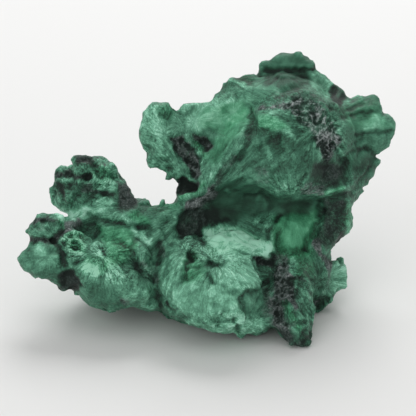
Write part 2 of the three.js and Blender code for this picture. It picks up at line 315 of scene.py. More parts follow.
def surface_of(mesh):
    """A tree that answers where a line meets the mesh."""
    co = np.zeros(len(mesh.vertices) * 3)
    mesh.vertices.foreach_get("co", co)
    return BVHTree.FromPolygons(co.reshape(-1, 3).tolist(), [p.vertices[:] for p in mesh.polygons])


blank_surface = surface_of(blank.data)


def on_skin(across, up, depth=0.0):
    """The first place that the viewer's eye meets at (across, up), sunk by depth millimetres."""
    eye = Vector(from_show([*VIEWER, ARM]))
    aim = Vector(from_show([across, up, 0]))
    hit, normal, _, _ = blank_surface.ray_cast(eye, (aim - eye).normalized())
    if hit is None:
        hit, normal, _, _ = blank_surface.find_nearest(aim - Vector(OUT) * 6 * MM)
    return np.array(hit) - np.array(OUT) * depth * MM, np.array(normal)


# %% [markdown]
# ## Sprays
#
# Every point of the skin belongs to the spray whose centre is nearest for that spray's reach. The
# direction from the centre to the point then says which fibre the point is on: points on one fibre
# share a direction. Stored on the skin as an attribute, that direction lets one noise texture draw
# streaks that fan out from every centre, on any shape, and the streaks meet in seams where two
# sprays meet.

# %% Find each point's spray
SPRAYS = [  # (across, up, how deep under the skin, reach)
    (-0.9, 19.2, 1.2, 8.0), (-3.6, 17.2, 1.0, 8.5), (1.6, 15.8, 1.0, 8.5), (-19.4, 17.0, 1.0, 6.5),
    (-21.2, 18.9, 0.8, 3.4), (-3.0, 30.5, 2.0, 15.0), (-1.5, 26.6, 3.0, 20.0),
    (-4.6, 41.4, 1.2, 6.0), (-8.2, 35.0, 6.0, 6.5), (20.5, 41.5, 3.0, 14.0),
    (15.6, 27.4, 2.0, 12.0), (-2.0, 7.0, 5.0, 4.0), (14.6, 50.2, 4.0, 8.0), (20.6, 12.6, 2.0, 6.5),
    (13.6, 12.6, 4.0, 7.0), (-24.6, 28.0, 2.0, 4.2), (-22.4, 32.6, 2.2, 4.0),
    (-30.0, 22.2, 1.6, 3.2), (-29.2, 17.2, 2.4, 4.4), (-24.2, 20.0, 2.0, 3.0),
    (-13.4, 25.4, 3.0, 7.0), (-17.5, 28.0, 3.0, 4.5), (9.7, 41.6, 1.0, 4.2), (22.6, 24.4, 3.0, 6.0),
    (-11.8, 20.8, 0.8, 3.6), (-12.6, 14.4, 2.0, 4.6), (4.4, 49.6, 1.6, 5.0), (21.2, 48.2, 1.0, 3.6),
    (29.2, 33.0, 4.0, 6.0), (-25.0, 13.0, 3.0, 5.0), (7.8, 5.2, 3.0, 5.0),
]
HIDDEN_SPRAYS = 44  # sprays on the faces that the show side hides
HIDDEN_REACH, HIDDEN_DEPTH = (4.5, 10.0), (0.8, 4.0)
STREAKS, STREAKS_PER_MM = 4.0, 1.0  # streaks in a radian: a base, and more for a longer reach
SEAM_WAVE, SEAM_SPAN = 0.25, 5.0  # how much the seams between sprays wander, and how far apart
CONE = 0.3  # how much a fibre's rise out of the skin counts towards its streak
APART = np.array([7.31, 3.17, 5.53])  # keeps one spray's streaks clear of the next one's


def spray_centres():
    """Centres in metres, axes and reaches in millimetres of all the sprays."""
    centres, axes, reaches = [], [], []
    for across, up, depth, reach in SPRAYS:
        place, normal = on_skin(across, up, depth)
        centres.append(place)
        axes.append(normal + OUT)
        reaches.append(reach)
    rng = np.random.default_rng(19)
    hidden = [p for p in blank.data.polygons if p.normal.dot(Vector(OUT)) < 0.05]
    for index in rng.choice(len(hidden), HIDDEN_SPRAYS, replace=False):
        normal = np.array(hidden[index].normal)
        centres.append(np.array(hidden[index].center) - normal * rng.uniform(*HIDDEN_DEPTH) * MM)
        axes.append(normal + rng.normal(0, 0.5, 3))
        reaches.append(rng.uniform(*HIDDEN_REACH))
    axes = np.array(axes)
    return np.array(centres), axes / np.linalg.norm(axes, axis=1)[:, None], np.array(reaches)


centres, axes, reaches = spray_centres()


def nearest_spray(points):
    """For each point: fibre direction, distance along it in millimetres, and streak place."""
    blur = layered(points / MM, SEAM_SPAN, 40)
    best = np.full(len(points), np.inf)
    which = np.zeros(len(points), int)
    for number, (centre, reach) in enumerate(zip(centres, reaches)):
        share = np.linalg.norm(points - centre, axis=1) / MM / reach * (1 + SEAM_WAVE * blur)
        closer = share < best
        best[closer] = share[closer]
        which[closer] = number
    rays = (points - centres[which]) / MM
    length = np.linalg.norm(rays, axis=1)
    fibres = rays / length[:, None]
    rise = (fibres * axes[which]).sum(1)
    flat = fibres - rise[:, None] * axes[which]
    flat /= np.linalg.norm(flat, axis=1)[:, None] + 1e-6
    around = flat + CONE * rise[:, None] * axes[which]
    around *= (STREAKS + STREAKS_PER_MM * reaches[which])[:, None]
    return fibres, length, around + which[:, None] * APART


print("sprays:", len(reaches))

# %% [markdown]
# ## Growths
#
# At the left end the sprays end in open tubes with thick pale rims, and in frilly rings piled on
# each other. They repeat, so Geometry Nodes make them: a cloud of points goes in, each point
# carries its size and the way it faces, and the tree puts a ring wall on each. The ring is a
# rounded section carried round a circle. Realised, the rings are joined to the lump and run
# together with it in the next step, as they did when they grew.

# %% The trees that set growths on points
RING_STEPS, SECTION_STEPS, BALL_ROUNDS = 14, 8, 2
RING_WAVE, NUB_WAVE = 1.3, 1.5  # how many bends the noise puts in one growth
FULL_TURN, SPIN_SEED = 6.28, 5


class Board:
    """A short way to wire a node tree."""

    def __init__(self, tree):
        self.tree = tree

    def feed(self, socket, source):
        """Sets a socket to a value, or joins it to another node's output."""
        if isinstance(source, (int, float, tuple, str)):
            socket.default_value = source
        else:
            self.tree.links.new(source, socket)

    def add(self, kind, feeds=None, **values):
        """A new node with its properties set and its inputs fed."""
        node = self.tree.nodes.new(kind)
        for name, value in values.items():
            setattr(node, name, value)
        for name, source in (feeds or {}).items():
            self.feed(node.inputs[name], source)
        return node


def ring_shape(b, given):
    """A ring wall: a squashed round section carried round a circle."""
    path, section = (
        b.add("GeometryNodeCurvePrimitiveCircle", {"Resolution": steps, "Radius": 1.0}).outputs[0]
        for steps in (RING_STEPS, SECTION_STEPS)
    )
    shape = b.add("ShaderNodeCombineXYZ", {"X": given["Wall"], "Y": given["Height"]})
    squashed = {"Geometry": section, "Scale": shape.outputs[0]}
    flat = b.add("GeometryNodeTransform", squashed).outputs["Geometry"]
    wall = {"Curve": path, "Profile Curve": flat}
    return b.add("GeometryNodeCurveToMesh", wall).outputs["Mesh"]


def nub_shape(b, given):
    """A rounded scale: a low-sided ball, squashed."""
    ball = b.add("GeometryNodeMeshIcoSphere", {"Subdivisions": BALL_ROUNDS})
    sides = {"X": given["Wide"], "Y": given["Thin"], "Z": given["Long"]}
    shape = b.add("ShaderNodeCombineXYZ", sides)
    squashed = {"Geometry": ball.outputs["Mesh"], "Scale": shape.outputs[0]}
    return b.add("GeometryNodeTransform", squashed).outputs["Geometry"]


def growth_tree(name, result, sizes, make_shape, wave, spun):
    """Bends a shape by noise and sets it on every point, at the point's size and facing its way.

    The sizes are named inputs, in shares of a growth's radius. Spun growths are also turned by a
    random angle about the way they face.
    """
    tree = bpy.data.node_groups.new(name, "GeometryNodeTree")
    tree.is_modifier = True
    socket = tree.interface.new_socket
    socket("Points", in_out="INPUT", socket_type="NodeSocketGeometry")
    for label, value in sizes.items():
        socket(label, in_out="INPUT", socket_type="NodeSocketFloat").default_value = value
    socket(result, in_out="OUTPUT", socket_type="NodeSocketGeometry")
    b = Board(tree)
    given = b.add("NodeGroupInput").outputs
    wobble = b.add("ShaderNodeTexNoise", {"Scale": wave}).outputs["Color"]
    shift = b.add("ShaderNodeVectorMath", {0: wobble, 1: (0.5, 0.5, 0.5)}, operation="SUBTRACT")
    uneven = {0: shift.outputs[0], "Scale": given["Uneven"]}
    much = b.add("ShaderNodeVectorMath", uneven, operation="SCALE")
    bent = {"Geometry": make_shape(b, given), "Offset": much.outputs[0]}
    bent = b.add("GeometryNodeSetPosition", bent).outputs["Geometry"]
    facing = b.add("GeometryNodeInputNamedAttribute", data_type="FLOAT_VECTOR")
    facing.inputs["Name"].default_value = "facing"
    size = b.add("GeometryNodeInputNamedAttribute", data_type="FLOAT")
    size.inputs["Name"].default_value = "size"
    way = {"Vector": facing.outputs["Attribute"]}
    turn = b.add("FunctionNodeAlignRotationToVector", way, axis="Z").outputs["Rotation"]
    if spun:
        turns = {"Max": FULL_TURN, "Seed": SPIN_SEED}
        angle = b.add("FunctionNodeRandomValue", turns, data_type="FLOAT")
        spin = b.add("FunctionNodeAxisAngleToRotation", {"Angle": angle.outputs[1]})
        both = {"Rotation": turn, "Rotate By": spin.outputs["Rotation"]}
        turn = b.add("FunctionNodeRotateRotation", both, rotation_space="LOCAL").outputs[0]
    place = b.add("GeometryNodeInstanceOnPoints", {
        "Points": given["Points"], "Instance": bent,
        "Rotation": turn, "Scale": size.outputs["Attribute"],
    })
    real = b.add("GeometryNodeRealizeInstances", {"Geometry": place.outputs["Instances"]})
    finish = b.add("GeometryNodeSetMaterial", {"Geometry": real.outputs["Geometry"]})
    b.add("NodeGroupOutput", {result: finish.outputs["Geometry"]})
    return tree


def store(mesh, name, values):
    """A number or a direction for each vertex, kept on the mesh under a name."""
    kind, field = ("FLOAT_VECTOR", "vector") if values.ndim == 2 else ("FLOAT", "value")
    mesh.attributes.new(name, kind, "POINT").data.foreach_set(field, values.ravel())


def points_object(name, places, facings, sizes):
    """Loose points with a size and a facing each."""
    mesh = bpy.data.meshes.new(name)
    mesh.from_pydata([tuple(p) for p in places], [], [])
    store(mesh, "facing", np.array(facings))
    store(mesh, "size", np.array(sizes, float))
    return new_object(name, mesh)


def grown(name, tree, points, inputs):
    """Runs a tree on points and gives back a plain mesh object."""
    modifier = points.modifiers.new("grow", "NODES")
    modifier.node_group = tree
    for item in tree.interface.items_tree:
        if item.item_type == "SOCKET" and item.in_out == "INPUT" and item.name in inputs:
            modifier[item.identifier] = inputs[item.name]
    return settled(points, name)


# %% Where the growths stand
TUBES = [  # rings: (across, up, radius, how far it is turned to the right, and up)
    (-24.2, 18.8, 1.5, 0.1, 0.2), (-26.2, 19.4, 0.95, -0.3, 0.4), (-25.0, 20.8, 1.0, -0.1, 0.9),
    (-23.3, 20.8, 0.8, 0.4, 0.8), (-30.3, 23.4, 0.9, -0.2, 1.0), (-27.8, 24.1, 1.1, 0.1, 1.2),
    (-22.2, 31.6, 1.5, 0.1, 0.6), (-19.2, 31.6, 1.1, 0.4, 0.7), (-25.6, 32.0, 1.2, -0.4, 0.6),
    (-27.0, 30.0, 1.0, -0.7, 0.2), (-17.8, 33.0, 0.8, 0.5, 0.9), (-23.0, 34.0, 1.0, 0.0, 1.5),
    (-20.2, 33.8, 0.9, 0.2, 1.1), (-28.2, 27.4, 0.9, -0.9, 0.0),
]
FRILL_COUNT, FRILL_SIZE = 16, (0.5, 1.05)  # how many small frills, and their radius in millimetres
FRILL_RISE = 0.1
NUB_COUNT, NUB_SIZE, NUB_LEAN = 620, (0.35, 0.85), 0.5
TUBE_RISE, BLADE_SINK = 0.15, 0.4


def blank_faces():
    """Middles in metres, normals, and show-frame places of the blank's faces."""
    middles = np.array([p.center[:] for p in blank.data.polygons])
    normals = np.array([p.normal[:] for p in blank.data.polygons])
    return middles, normals, to_show(middles)


def tube_points():
    """The named rings, standing on the skin."""
    places, facings, sizes = [], [], []
    for across, up, radius, right, upward in TUBES:
        place, _ = on_skin(across, up, depth=-TUBE_RISE * radius)
        way = OUT + right * RIGHT + upward * UP
        places.append(place)
        facings.append(way / np.linalg.norm(way))
        sizes.append(radius * MM)
    return points_object("tube points", places, facings, sizes)


def frill_points():
    """Small rings crowded over the two clusters at the left end, on every side of them."""
    rng = np.random.default_rng(7)
    middles, normals, show = blank_faces()
    upper = (show[:, 1] > 27.5) & (show[:, 0] < -15.5)
    lower = (show[:, 0] < -26.5) & (show[:, 1] > 16)
    open_to_air = (upper | lower) & (normals[:, 2] > -0.75)
    chosen = rng.choice(np.flatnonzero(open_to_air), FRILL_COUNT, replace=False)
    sizes = rng.uniform(*FRILL_SIZE, FRILL_COUNT) * MM
    places = middles[chosen] + normals[chosen] * FRILL_RISE * MM
    return points_object("frill points", places, normals[chosen], sizes)


BLADES = [  # thin slivers: (across, up, length, lean across)
    (-8.3, 26.2, 2.0, 0.05), (-8.35, 27.3, 1.5, 0.0), (-9.8, 26.4, 1.4, -1.6),
    (-11.6, 27.4, 1.6, -2.0), (-5.6, 26.4, 1.3, -2.4), (-2.8, 20.2, 1.0, -0.5),
    (-1.9, 38.2, 1.4, 0.8), (-0.9, 36.9, 1.6, -0.9), (-4.4, 38.8, 0.8, 0.3),
]


def nub_points():
    """Small scales crowded on the clusters, along the crust and on the stone's rims."""
    rng = np.random.default_rng(23)
    middles, normals, show = blank_faces()
    across, up, facing = show[:, 0], show[:, 1], normals @ OUT
    rim = 1 - ramp(np.abs(facing), 0.1, 0.45)
    cluster = ramp(up, 26.5, 28) * ramp(-across, 16, 17.5) + 0.6 * ramp(-across, 27, 29)
    chance = 0.25 * rim + 1.0 * cluster + 0.12 * (facing < 0)
    off_underside, off_right_end = ramp(normals[:, 2], -0.9, -0.6), 1 - ramp(across, 18, 22)
    chance *= off_underside * off_right_end * ramp(across, -33.5, -31.5)
    chance *= (up < 28.5) | (across < -15) | (facing < -0.5)  # none on the silky upper rims
    chosen = rng.choice(len(middles), NUB_COUNT, replace=False, p=chance / chance.sum())
    ways = normals[chosen] + rng.normal(0, NUB_LEAN, (NUB_COUNT, 3))
    sizes = rng.uniform(*NUB_SIZE, NUB_COUNT) * MM
    return points_object("nub points", middles[chosen], ways, sizes)


def blade_points():
    """The named slivers."""
    places, ways, sizes = [], [], []
    for across, up, length, lean in BLADES:
        place, _ = on_skin(across, up, BLADE_SINK)
        places.append(place)
        ways.append(UP + lean * RIGHT)
        sizes.append(length * MM)
    return points_object("blade points", places, ways, sizes)


ring_sizes = {"Wall": 0.3, "Height": 0.7, "Uneven": 0.35}
nub_sizes = {"Wide": 1.0, "Long": 1.0, "Thin": 0.5, "Uneven": 0.6}
ring_tree = growth_tree("Ring growths", "Rings", ring_sizes, ring_shape, RING_WAVE, spun=False)
nub_tree = growth_tree("Nub growths", "Nubs", nub_sizes, nub_shape, NUB_WAVE, spun=True)
nubs = grown("nubs", nub_tree, nub_points(), {"Long": 0.9, "Thin": 0.55, "Uneven": 0.7})
slim = {"Wide": 0.32, "Long": 1.2, "Thin": 0.26, "Uneven": 0.2}
blades = grown("blades", nub_tree, blade_points(), slim)
tubes = grown("tubes", ring_tree, tube_points(), {"Wall": 0.26, "Height": 0.75, "Uneven": 0.5})
frills = grown("frills", ring_tree, frill_points(), {"Wall": 0.3, "Height": 0.6, "Uneven": 1.1})
print("ring faces:", len(tubes.data.polygons), len(frills.data.polygons))

# %% [markdown]
# ## One skin
#
# Joining meshes only puts them side by side. A voxel remesh reads them as one body of stone and
# draws a single closed skin round it, with even faces that can be carved anywhere.

# %% Join and remesh
FIRST_VOXEL = 0.42
LAST_VOXEL = 0.36


def joined(name, parts):
    """One object out of several, with their meshes side by side."""
    bm = bmesh.new()
    for part in parts:
        bm.from_mesh(part.data)
        bpy.data.objects.remove(part)
    mesh = bpy.data.meshes.new(name)
    bm.to_mesh(mesh)
    bm.free()
    return new_object(name, mesh)


stone = remeshed(joined("stone", [blank, tubes, frills, nubs, blades]), FIRST_VOXEL)
print("first skin:", len(stone.data.vertices), "vertices")

# %% [markdown]
# ## Carving tools
#
# The folds are cut with a few strokes, each a short line of places on the show face. A stroke is
# strongest along its line and fades to nothing at its width, and noise makes its edge ragged. A
# patch is a closed outline that is filled. Both give a weight from 0 to 1 for each point of the
# skin that the viewer can see, so nothing behind the lump is touched.

# %% Strokes and patches
RAGGED, RAGGED_SPAN = 0.5, 1.6  # how far noise pushes a stroke's edge, and over what span, mm
CLEAR = 0.25  # a sight line starts this far off the skin, in millimetres


def line_distance(spots, line):
    """Distance in the show face from each spot to a line of places."""
    best = np.full(len(spots), np.inf)
    line = np.asarray(line, float)
    ends = zip(line[:-1], line[1:]) if len(line) > 1 else [(line[0], line[0])]
    for a, b in ends:
        along = b - a
        t = np.clip(((spots - a) @ along) / max(along @ along, 1e-9), 0, 1)
        best = np.minimum(best, np.linalg.norm(spots - a - t[:, None] * along, axis=1))
    return best


def inside(spots, outline):
    """Signed distance to a closed outline: positive inside it."""
    outline = np.asarray(outline, float)
    crossings = np.zeros(len(spots), bool)
    for (ax, ay), (bx, by) in zip(outline, np.roll(outline, -1, 0)):
        spans = (ay > spots[:, 1]) != (by > spots[:, 1])
        slope = (bx - ax) * (spots[:, 1] - ay) / ((by - ay) or 1e-9) + ax
        crossings ^= spans & (spots[:, 0] < slope)
    distance = line_distance(spots, [*outline, outline[0]])
    return np.where(crossings, distance, -distance)


class ShowFace:
    """The skin as the viewer sees it: where each point appears, and whether it is in sight."""

    def __init__(self, thing, ragged=RAGGED):
        points = get_points(thing)
        self.spots = as_seen(points)
        show = to_show(points)
        push = [layered(show, RAGGED_SPAN, seed) for seed in (3, 8)]
        self.spots = self.spots + ragged * np.column_stack(push)
        surface = surface_of(thing.data)
        eye = from_show([*VIEWER, ARM])
        ways = eye - points
        ways /= np.linalg.norm(ways, axis=1)[:, None]
        facing = (get_normals(thing) * ways).sum(1)
        self.sight = np.zeros(len(points))
        for i in np.flatnonzero(facing > -0.1):
            start = Vector(points[i] + ways[i] * CLEAR * MM)
            if surface.ray_cast(start, Vector(ways[i]))[0] is None:
                self.sight[i] = 1

    def stroke(self, line, width):
        """Weight of a stroke, 1 on its line and 0 past its width."""
        return self.sight * (1 - ramp(line_distance(self.spots, line), 0.15 * width, width))

    def patch(self, outline, edge):
        """Weight of a filled outline whose edge fades over the given distance."""
        return self.sight * ramp(inside(self.spots, outline), -edge / 2, edge / 2)

    def step(self, line, reach):
        """How far down a step each spot lies, for an open line with the low side on its right."""
        line = np.asarray(line, float)
        side = np.zeros(len(self.spots))
        nearest = np.full(len(self.spots), np.inf)
        for a, b in zip(line[:-1], line[1:]):
            along = b - a
            far = line_distance(self.spots, [a, b])
            cross = along[0] * (self.spots - a)[:, 1] - along[1] * (self.spots - a)[:, 0]
            side = np.where(far < nearest, np.sign(cross), side)
            nearest = np.minimum(nearest, far)
        drop = ramp(nearest, 0, 0.5) * (1 - ramp(nearest, 0.6, reach))
        return self.sight * np.where(side < 0, drop, 0)

    def tally(self, patches, strokes=()):
        """All the patches and strokes of one kind added up."""
        total = np.zeros(len(self.spots))
        for amount, edge, outline in patches:
            total += amount * self.patch(outline, edge)
        for amount, width, line in strokes:
            total += amount * self.stroke(line, width)
        return total


def carve(thing, heights, along_view=0.5):
    """Moves each vertex by its height in mm, part along its normal and part towards the eye."""
    way = (1 - along_view) * get_normals(thing) + along_view * OUT
    way /= np.linalg.norm(way, axis=1)[:, None] + 1e-9
    set_points(thing, get_points(thing) + way * (heights * MM)[:, None])


# %% [markdown]
# ## Cutting the folds
#
# Broad folds first. The ridge that runs from the neck up to the brow is kept crisp by cutting the
# silky valley on its left. The front lobe is a shell: its right rim stands over the dark crust as a
# ragged step. Between the sprays are pits where they never met, and the crust fills them.

# %% Ridges, grooves, pits and steps
# Outlines that more than one table uses.
CAP_HOLLOW = [(-7, 39.2), (-5.4, 38.9), (-4.3, 39.5), (-3.9, 38.2), (-3, 38.2), (-2.2, 37.2),
    (-1.7, 36), (-1, 35.2), (-1.1, 33.6), (-0.8, 32), (-1.4, 31.2), (-2.6, 31.6), (-3.4, 33.4),
    (-4.2, 34.8), (-5.4, 35.8), (-6.2, 37.4)]
CAP_CLEFT = [(-3, 40.2), (-1.6, 39.8), (0, 39.2), (1.4, 37.8), (1.2, 37.2), (0.2, 36.4),
    (-0.6, 37.6), (-2.2, 38.4)]
DARK_HOLE = [(-6, 30.4), (-5, 31.6), (-4, 31.9), (-3, 31), (-1.2, 30.6), (-1.3, 29.6), (-3, 28.8),
    (-5.6, 28.6)]
LOW_CAVE = [(-4, 16.8), (-5.2, 12), (-3, 12.5), (-1, 13.4), (-0.6, 16), (-2.4, 18.2)]
LOBE_TOP = [(-6.4, 6.6), (-6, 10.6), (-4.4, 11.7), (-2.6, 12.6), (-0.8, 11.2), (0.5, 10.6),
    (4, 10.3), (5.6, 9.6), (6.4, 7.6), (5.4, 6), (-2, 5.9)]
COLUMN = [(9, 16.6), (16, 16.6), (20, 10), (19.6, 0), (14, 0), (11, 8)]
WALL = [(13, 25), (21, 25.4), (19.4, 18), (13.6, 17.6)]
RIGHT_HOLLOW = [(19, 34.6), (26.2, 34.6), (26, 30.4), (19, 30.6)]
CAP_KNOB = [(-9, 45.4), (-7, 45.8), (-5.8, 44), (-7, 42.4), (-8.8, 43.4)]
CAP_NET = [(-6.4, 38.6), (-1, 39.4), (-1, 34), (-3.4, 33.6)]
BAY_CORNER = [(-16.5, 30.8), (-14.4, 30.6), (-12.8, 28), (-12.4, 26.2), (-16.4, 25.8)]
FLANGE_EDGE = [(22.2, 28.4), (23.6, 28.9), (25.4, 29.8)]
RIDGES = [  # (height, width, line)
    (1.6, 3.0, [(-4.4, 18.6), (-0.4, 17.6), (4, 17.6), (9.4, 17.4), (12.4, 18)]),
    (1.2, 3.0, [(-6.8, 17), (-7, 12), (-6, 8)]),
    (1.4, 3.0, [(-3.6, 30), (0.4, 32.6), (3.6, 36.6), (7, 41)]),
    (0.9, 1.5, [(-4.9, 28.2), (-2.1, 28.9), (-0.3, 30.6), (1.2, 32.4), (5.2, 36.6), (8.2, 41.6)]),
    (1.1, 1.5, [(9.4, 44.8), (12.6, 45.8), (15.1, 46.6), (17.6, 47.3), (19.4, 47), (21.6, 45.6),
        (23.6, 44.2)]),
    (0.7, 1.2, [(23.2, 43.6), (25.2, 40.6), (24.6, 38), (22.6, 35.8)]),
    (0.6, 1.2, [(9.2, 42.9), (10.9, 43.4), (14.3, 42.3), (16, 40.8), (16.9, 38.9)]),
    (0.7, 1.1, [(6.6, 29.4), (12.6, 28.2), (17.2, 28.0), (22.2, 28.2), (25.3, 30)]),
    (0.7, 1.1, [(14.5, 25), (12.9, 21.6), (12.3, 18.4), (11.3, 17)]),
    (0.6, 1.4, [(-22.4, 25.6), (-18, 24.4), (-12.8, 23.6), (-8, 24.8)]),
    (0.5, 1.2, [(-9.8, 20.4), (-12.4, 21), (-16, 20.2), (-20.6, 19)]),
    (0.6, 1.4, [(-6.2, 15.6), (-7.4, 12), (-7.6, 8.6)]),
    (0.5, 1.3, [(-20, 16.8), (-15.8, 13.2), (-11, 10.6)]),
    (0.6, 1.0, [(22.7, 15.2), (22.5, 11.4), (20.2, 8.2), (19.5, 5.6)]),
    (0.6, 1.2, [(12.8, 16.2), (14.6, 13.8), (15.4, 10.8), (16, 7.4)]),
    (0.5, 1.0, [(15.4, 13.8), (17, 13.6), (18.6, 12.4)]),
    (0.6, 1.2, [(22.2, 27.6), (23.2, 24.6), (21.6, 21), (21.4, 18)]),
    (0.5, 1.2, [(25.4, 29), (27.6, 32), (29.4, 34.6)]),
    (0.5, 1.2, [(-9.6, 44), (-9.4, 40), (-8.2, 36.6)]),
    (0.5, 1.0, [(4.4, 50), (7.6, 48.2)]),
    (0.5, 1.2, [(-3.6, 45), (1, 44.6), (5, 46.4)]),
    (0.4, 1.0, [(20.2, 51), (22.9, 48.8), (23, 45.4)]),
    (0.5, 1.2, [(-30, 17.6), (-27.6, 14.6), (-24.6, 15.2)]),
    (0.5, 1.2, [(6.5, 5.2), (2, 4.8), (-3, 6)]),
]
GROOVES = [  # (depth, width, line)
    (1.6, 4.0, [(2, 26.6), (7, 27.6), (13, 26.6), (20, 26)]),
    (1.2, 3.5, [(3.4, 31.6), (8, 35), (12, 37)]),
    (0.8, 2.6, [(1.6, 15.4), (6, 14.8), (8.6, 14.4)]),
    (0.8, 2.4, [(-9, 17), (-9.6, 13), (-9, 9)]),
    (0.9, 3.0, [(-6.6, 42.6), (-2, 42.2), (3, 42.6)]),
    (0.9, 3.0, [(0.8, 38.6), (4, 42.6), (10, 45.4)]),
    (0.6, 0.8, [(11.3, 51.7), (15.6, 51.7), (20.2, 51.8)]),
    (0.5, 0.9, [(-21.6, 24.8), (-18.5, 23.2), (-13.5, 22.7), (-10.2, 21.9)]),
    (0.3, 0.7, [(24.4, 42.4), (28, 43.2), (31.8, 44.2)]),
    (0.45, 0.8, [(12.6, 46.9), (15.4, 48), (18.2, 48.8), (21, 47.6), (23.4, 45.6)]),
    (0.5, 0.6, [(21.8, 27.8), (24, 28.2), (26, 29)]),
    (0.5, 0.8, [(25.6, 44), (29, 45.2)]),
    (0.4, 0.7, [(27.6, 39.4), (31.6, 40.3), (35.2, 40.6)]),
    (0.7, 1.1, [(-8.6, 19.6), (-8.9, 16), (-9.6, 12.6), (-8.6, 7)]),
    (0.9, 0.8, [(-1.3, 21.6), (-0.8, 20.4), (-0.4, 19.2)]),
    (0.6, 0.7, [(-3.4, 16), (-3.9, 14), (-3.8, 12.4)]),
    (0.6, 0.7, [(-2.4, 16.4), (-1.6, 14.6)]),
    (0.6, 0.7, [(0.2, 19), (1.6, 17.6)]),
    (0.6, 0.7, [(-2.2, 20.4), (-2.5, 18.8)]),
    (0.9, 0.7, [(-7.3, 8.8), (-5.6, 7.1)]),
    (1.0, 0.7, [(5.3, 5.6), (5.9, 3.4)]),
    (0.7, 1.0, [(8.6, 42.4), (7.8, 38.4), (6.4, 35.4)]),
    (0.9, 1.2, [(20, 22.6), (19.3, 21.1), (18.5, 18.4)]),
    (0.9, 1.2, [(21.6, 26.8), (21.2, 23.4), (20.2, 20.6)]),
    (0.4, 1.0, [(28.6, 31.2), (26.8, 28.8)]),
    (0.8, 1.2, [(23.6, 37.4), (25.6, 34.4), (26, 31.4)]),
    (0.8, 1.1, [(-28.6, 20.4), (-26.6, 18), (-26.3, 15.2)]),
    (0.6, 1.2, [(-13.6, 16), (-12, 13.8), (-10, 12.6)]),
    (0.4, 0.8, [(14.5, 24.8), (13.4, 24.6), (13.1, 23.4)]),
    (0.6, 1.0, [(1, 5.4), (5, 5.3)]),
    (0.5, 1.2, [(21.6, 46.6), (22.8, 45.6), (23.8, 44.2)]),
    (0.6, 1.0, [(-31.8, 19.6), (-29.2, 19.2)]),
    (0.7, 1.0, [(-17.4, 28.9), (-20.4, 28.2), (-22.4, 26.6)]),
]
PITS = [  # (depth, outline)
    (1.0, CAP_HOLLOW),
    (0.9, CAP_CLEFT),
    (1.9, DARK_HOLE),
    (1.3, [(-0.2, 14.3), (1, 13.2), (1.9, 11.8), (0.4, 11.9), (0.5, 13.2)]),
    (0.9, [(-0.3, 15.2), (0.1, 16), (1.2, 16.2), (2.8, 16), (3, 15.2), (1.4, 15.5)]),
    (0.9, [(-3.6, 16.2), (-3.2, 18), (-2.4, 17.4), (-2.4, 16.2)]),
    (0.6, LOW_CAVE),
    (-0.55, LOBE_TOP),
    (-0.4, [(0.8, 17), (2.6, 16.6), (5, 17.6), (8, 17), (9, 15), (10.6, 12.2), (9.5, 11.2), (7, 11),
        (4.6, 11), (2.4, 12), (1.6, 14)]),
    (1.0, [(-26.9, 13), (-26.4, 14.2), (-24.6, 14.2), (-24, 12.6), (-23, 12), (-24.4, 10.6),
        (-27, 11)]),
    (0.6, [(-24.2, 20.6), (-24, 23), (-20.4, 23.4), (-19.6, 21.4), (-21.4, 19.8), (-22.8, 19.6)]),
    (0.8, [(-32.4, 20.8), (-30, 20.6), (-28.4, 21), (-26.6, 21.6), (-27, 20), (-28.6, 19.6),
        (-31, 20)]),
    (0.8, [(-5.8, 22), (-4.6, 25.8), (-1.8, 26), (0.4, 24.8), (0.6, 22.9), (-1.6, 21.4),
        (-4.2, 19.8)]),
    (1.1, [(-28.2, 32.6), (-26, 33), (-23.8, 32.4), (-20.8, 32.4), (-21, 31), (-24, 31.1),
        (-26, 31.3), (-27.8, 31.4)]),
    (0.7, [(-19.8, 31.8), (-18.6, 31.8), (-18.5, 31.1), (-19.7, 31.1)]),
    (0.9, [(-27.8, 30.8), (-26.8, 30.4), (-26.2, 29.2), (-27.4, 29.2)]),
    (1.0, [(-30.7, 23.7), (-29.8, 23.7), (-29.9, 22.9), (-30.6, 22.9)]),
    (0.45, [(-25, 19.2), (-24.3, 19.7), (-23.5, 19.2), (-23.4, 18.4), (-24.2, 17.9), (-25, 18.4)]),
    (0.6, [(-26.6, 19.8), (-25.8, 19.8), (-25.8, 18.9), (-26.5, 18.9)]),
    (0.9, [(8.8, 16.9), (12.8, 16.8), (12.8, 12.6), (11.4, 9.8), (10.4, 12), (9.6, 14.2)]),
    (1.2, [(20, 9.4), (23.6, 9.4), (22, 7), (20.2, 6.2)]),
    (0.9, [(16.8, 10.6), (17.7, 10.4), (17.6, 9.4), (16.9, 9.5)]),
    (0.4, [(20.6, 34), (22.8, 34.6), (25.2, 33.6), (25.6, 31.4), (23.4, 30.2), (20.6, 30.8),
        (19, 32.4)]),
    (-0.5, [(9.2, 42.9), (10.9, 43.4), (14.3, 42.4), (16, 40.9), (17, 38.8), (14.5, 40),
        (12.6, 40.6), (9.8, 41)]),
    (0.8, [(-13.6, 15.9), (-11.4, 15.6), (-11.2, 13.6), (-13.2, 13.8)]),
    (-0.5, [(10, 51.8), (10, 53), (13, 54.3), (17, 55), (19.8, 53), (20, 51.9)]),
]
SHELL_RIM = [(12.6, 20.4), (12.5, 17.9), (11.2, 16.8), (9.4, 17), (8.8, 16.7), (9.2, 15),
    (10.5, 12.3), (9.6, 11.1), (7.2, 11.1), (5.9, 9.6), (5.6, 8.6), (6.8, 6.6)]
SHELL_STEP, SHELL_REACH = 1.3, 3.2  # how high the shell's rim stands, and how far the low side runs
RIDGE_GAIN, PIT_EDGE = 0.55, 0.8


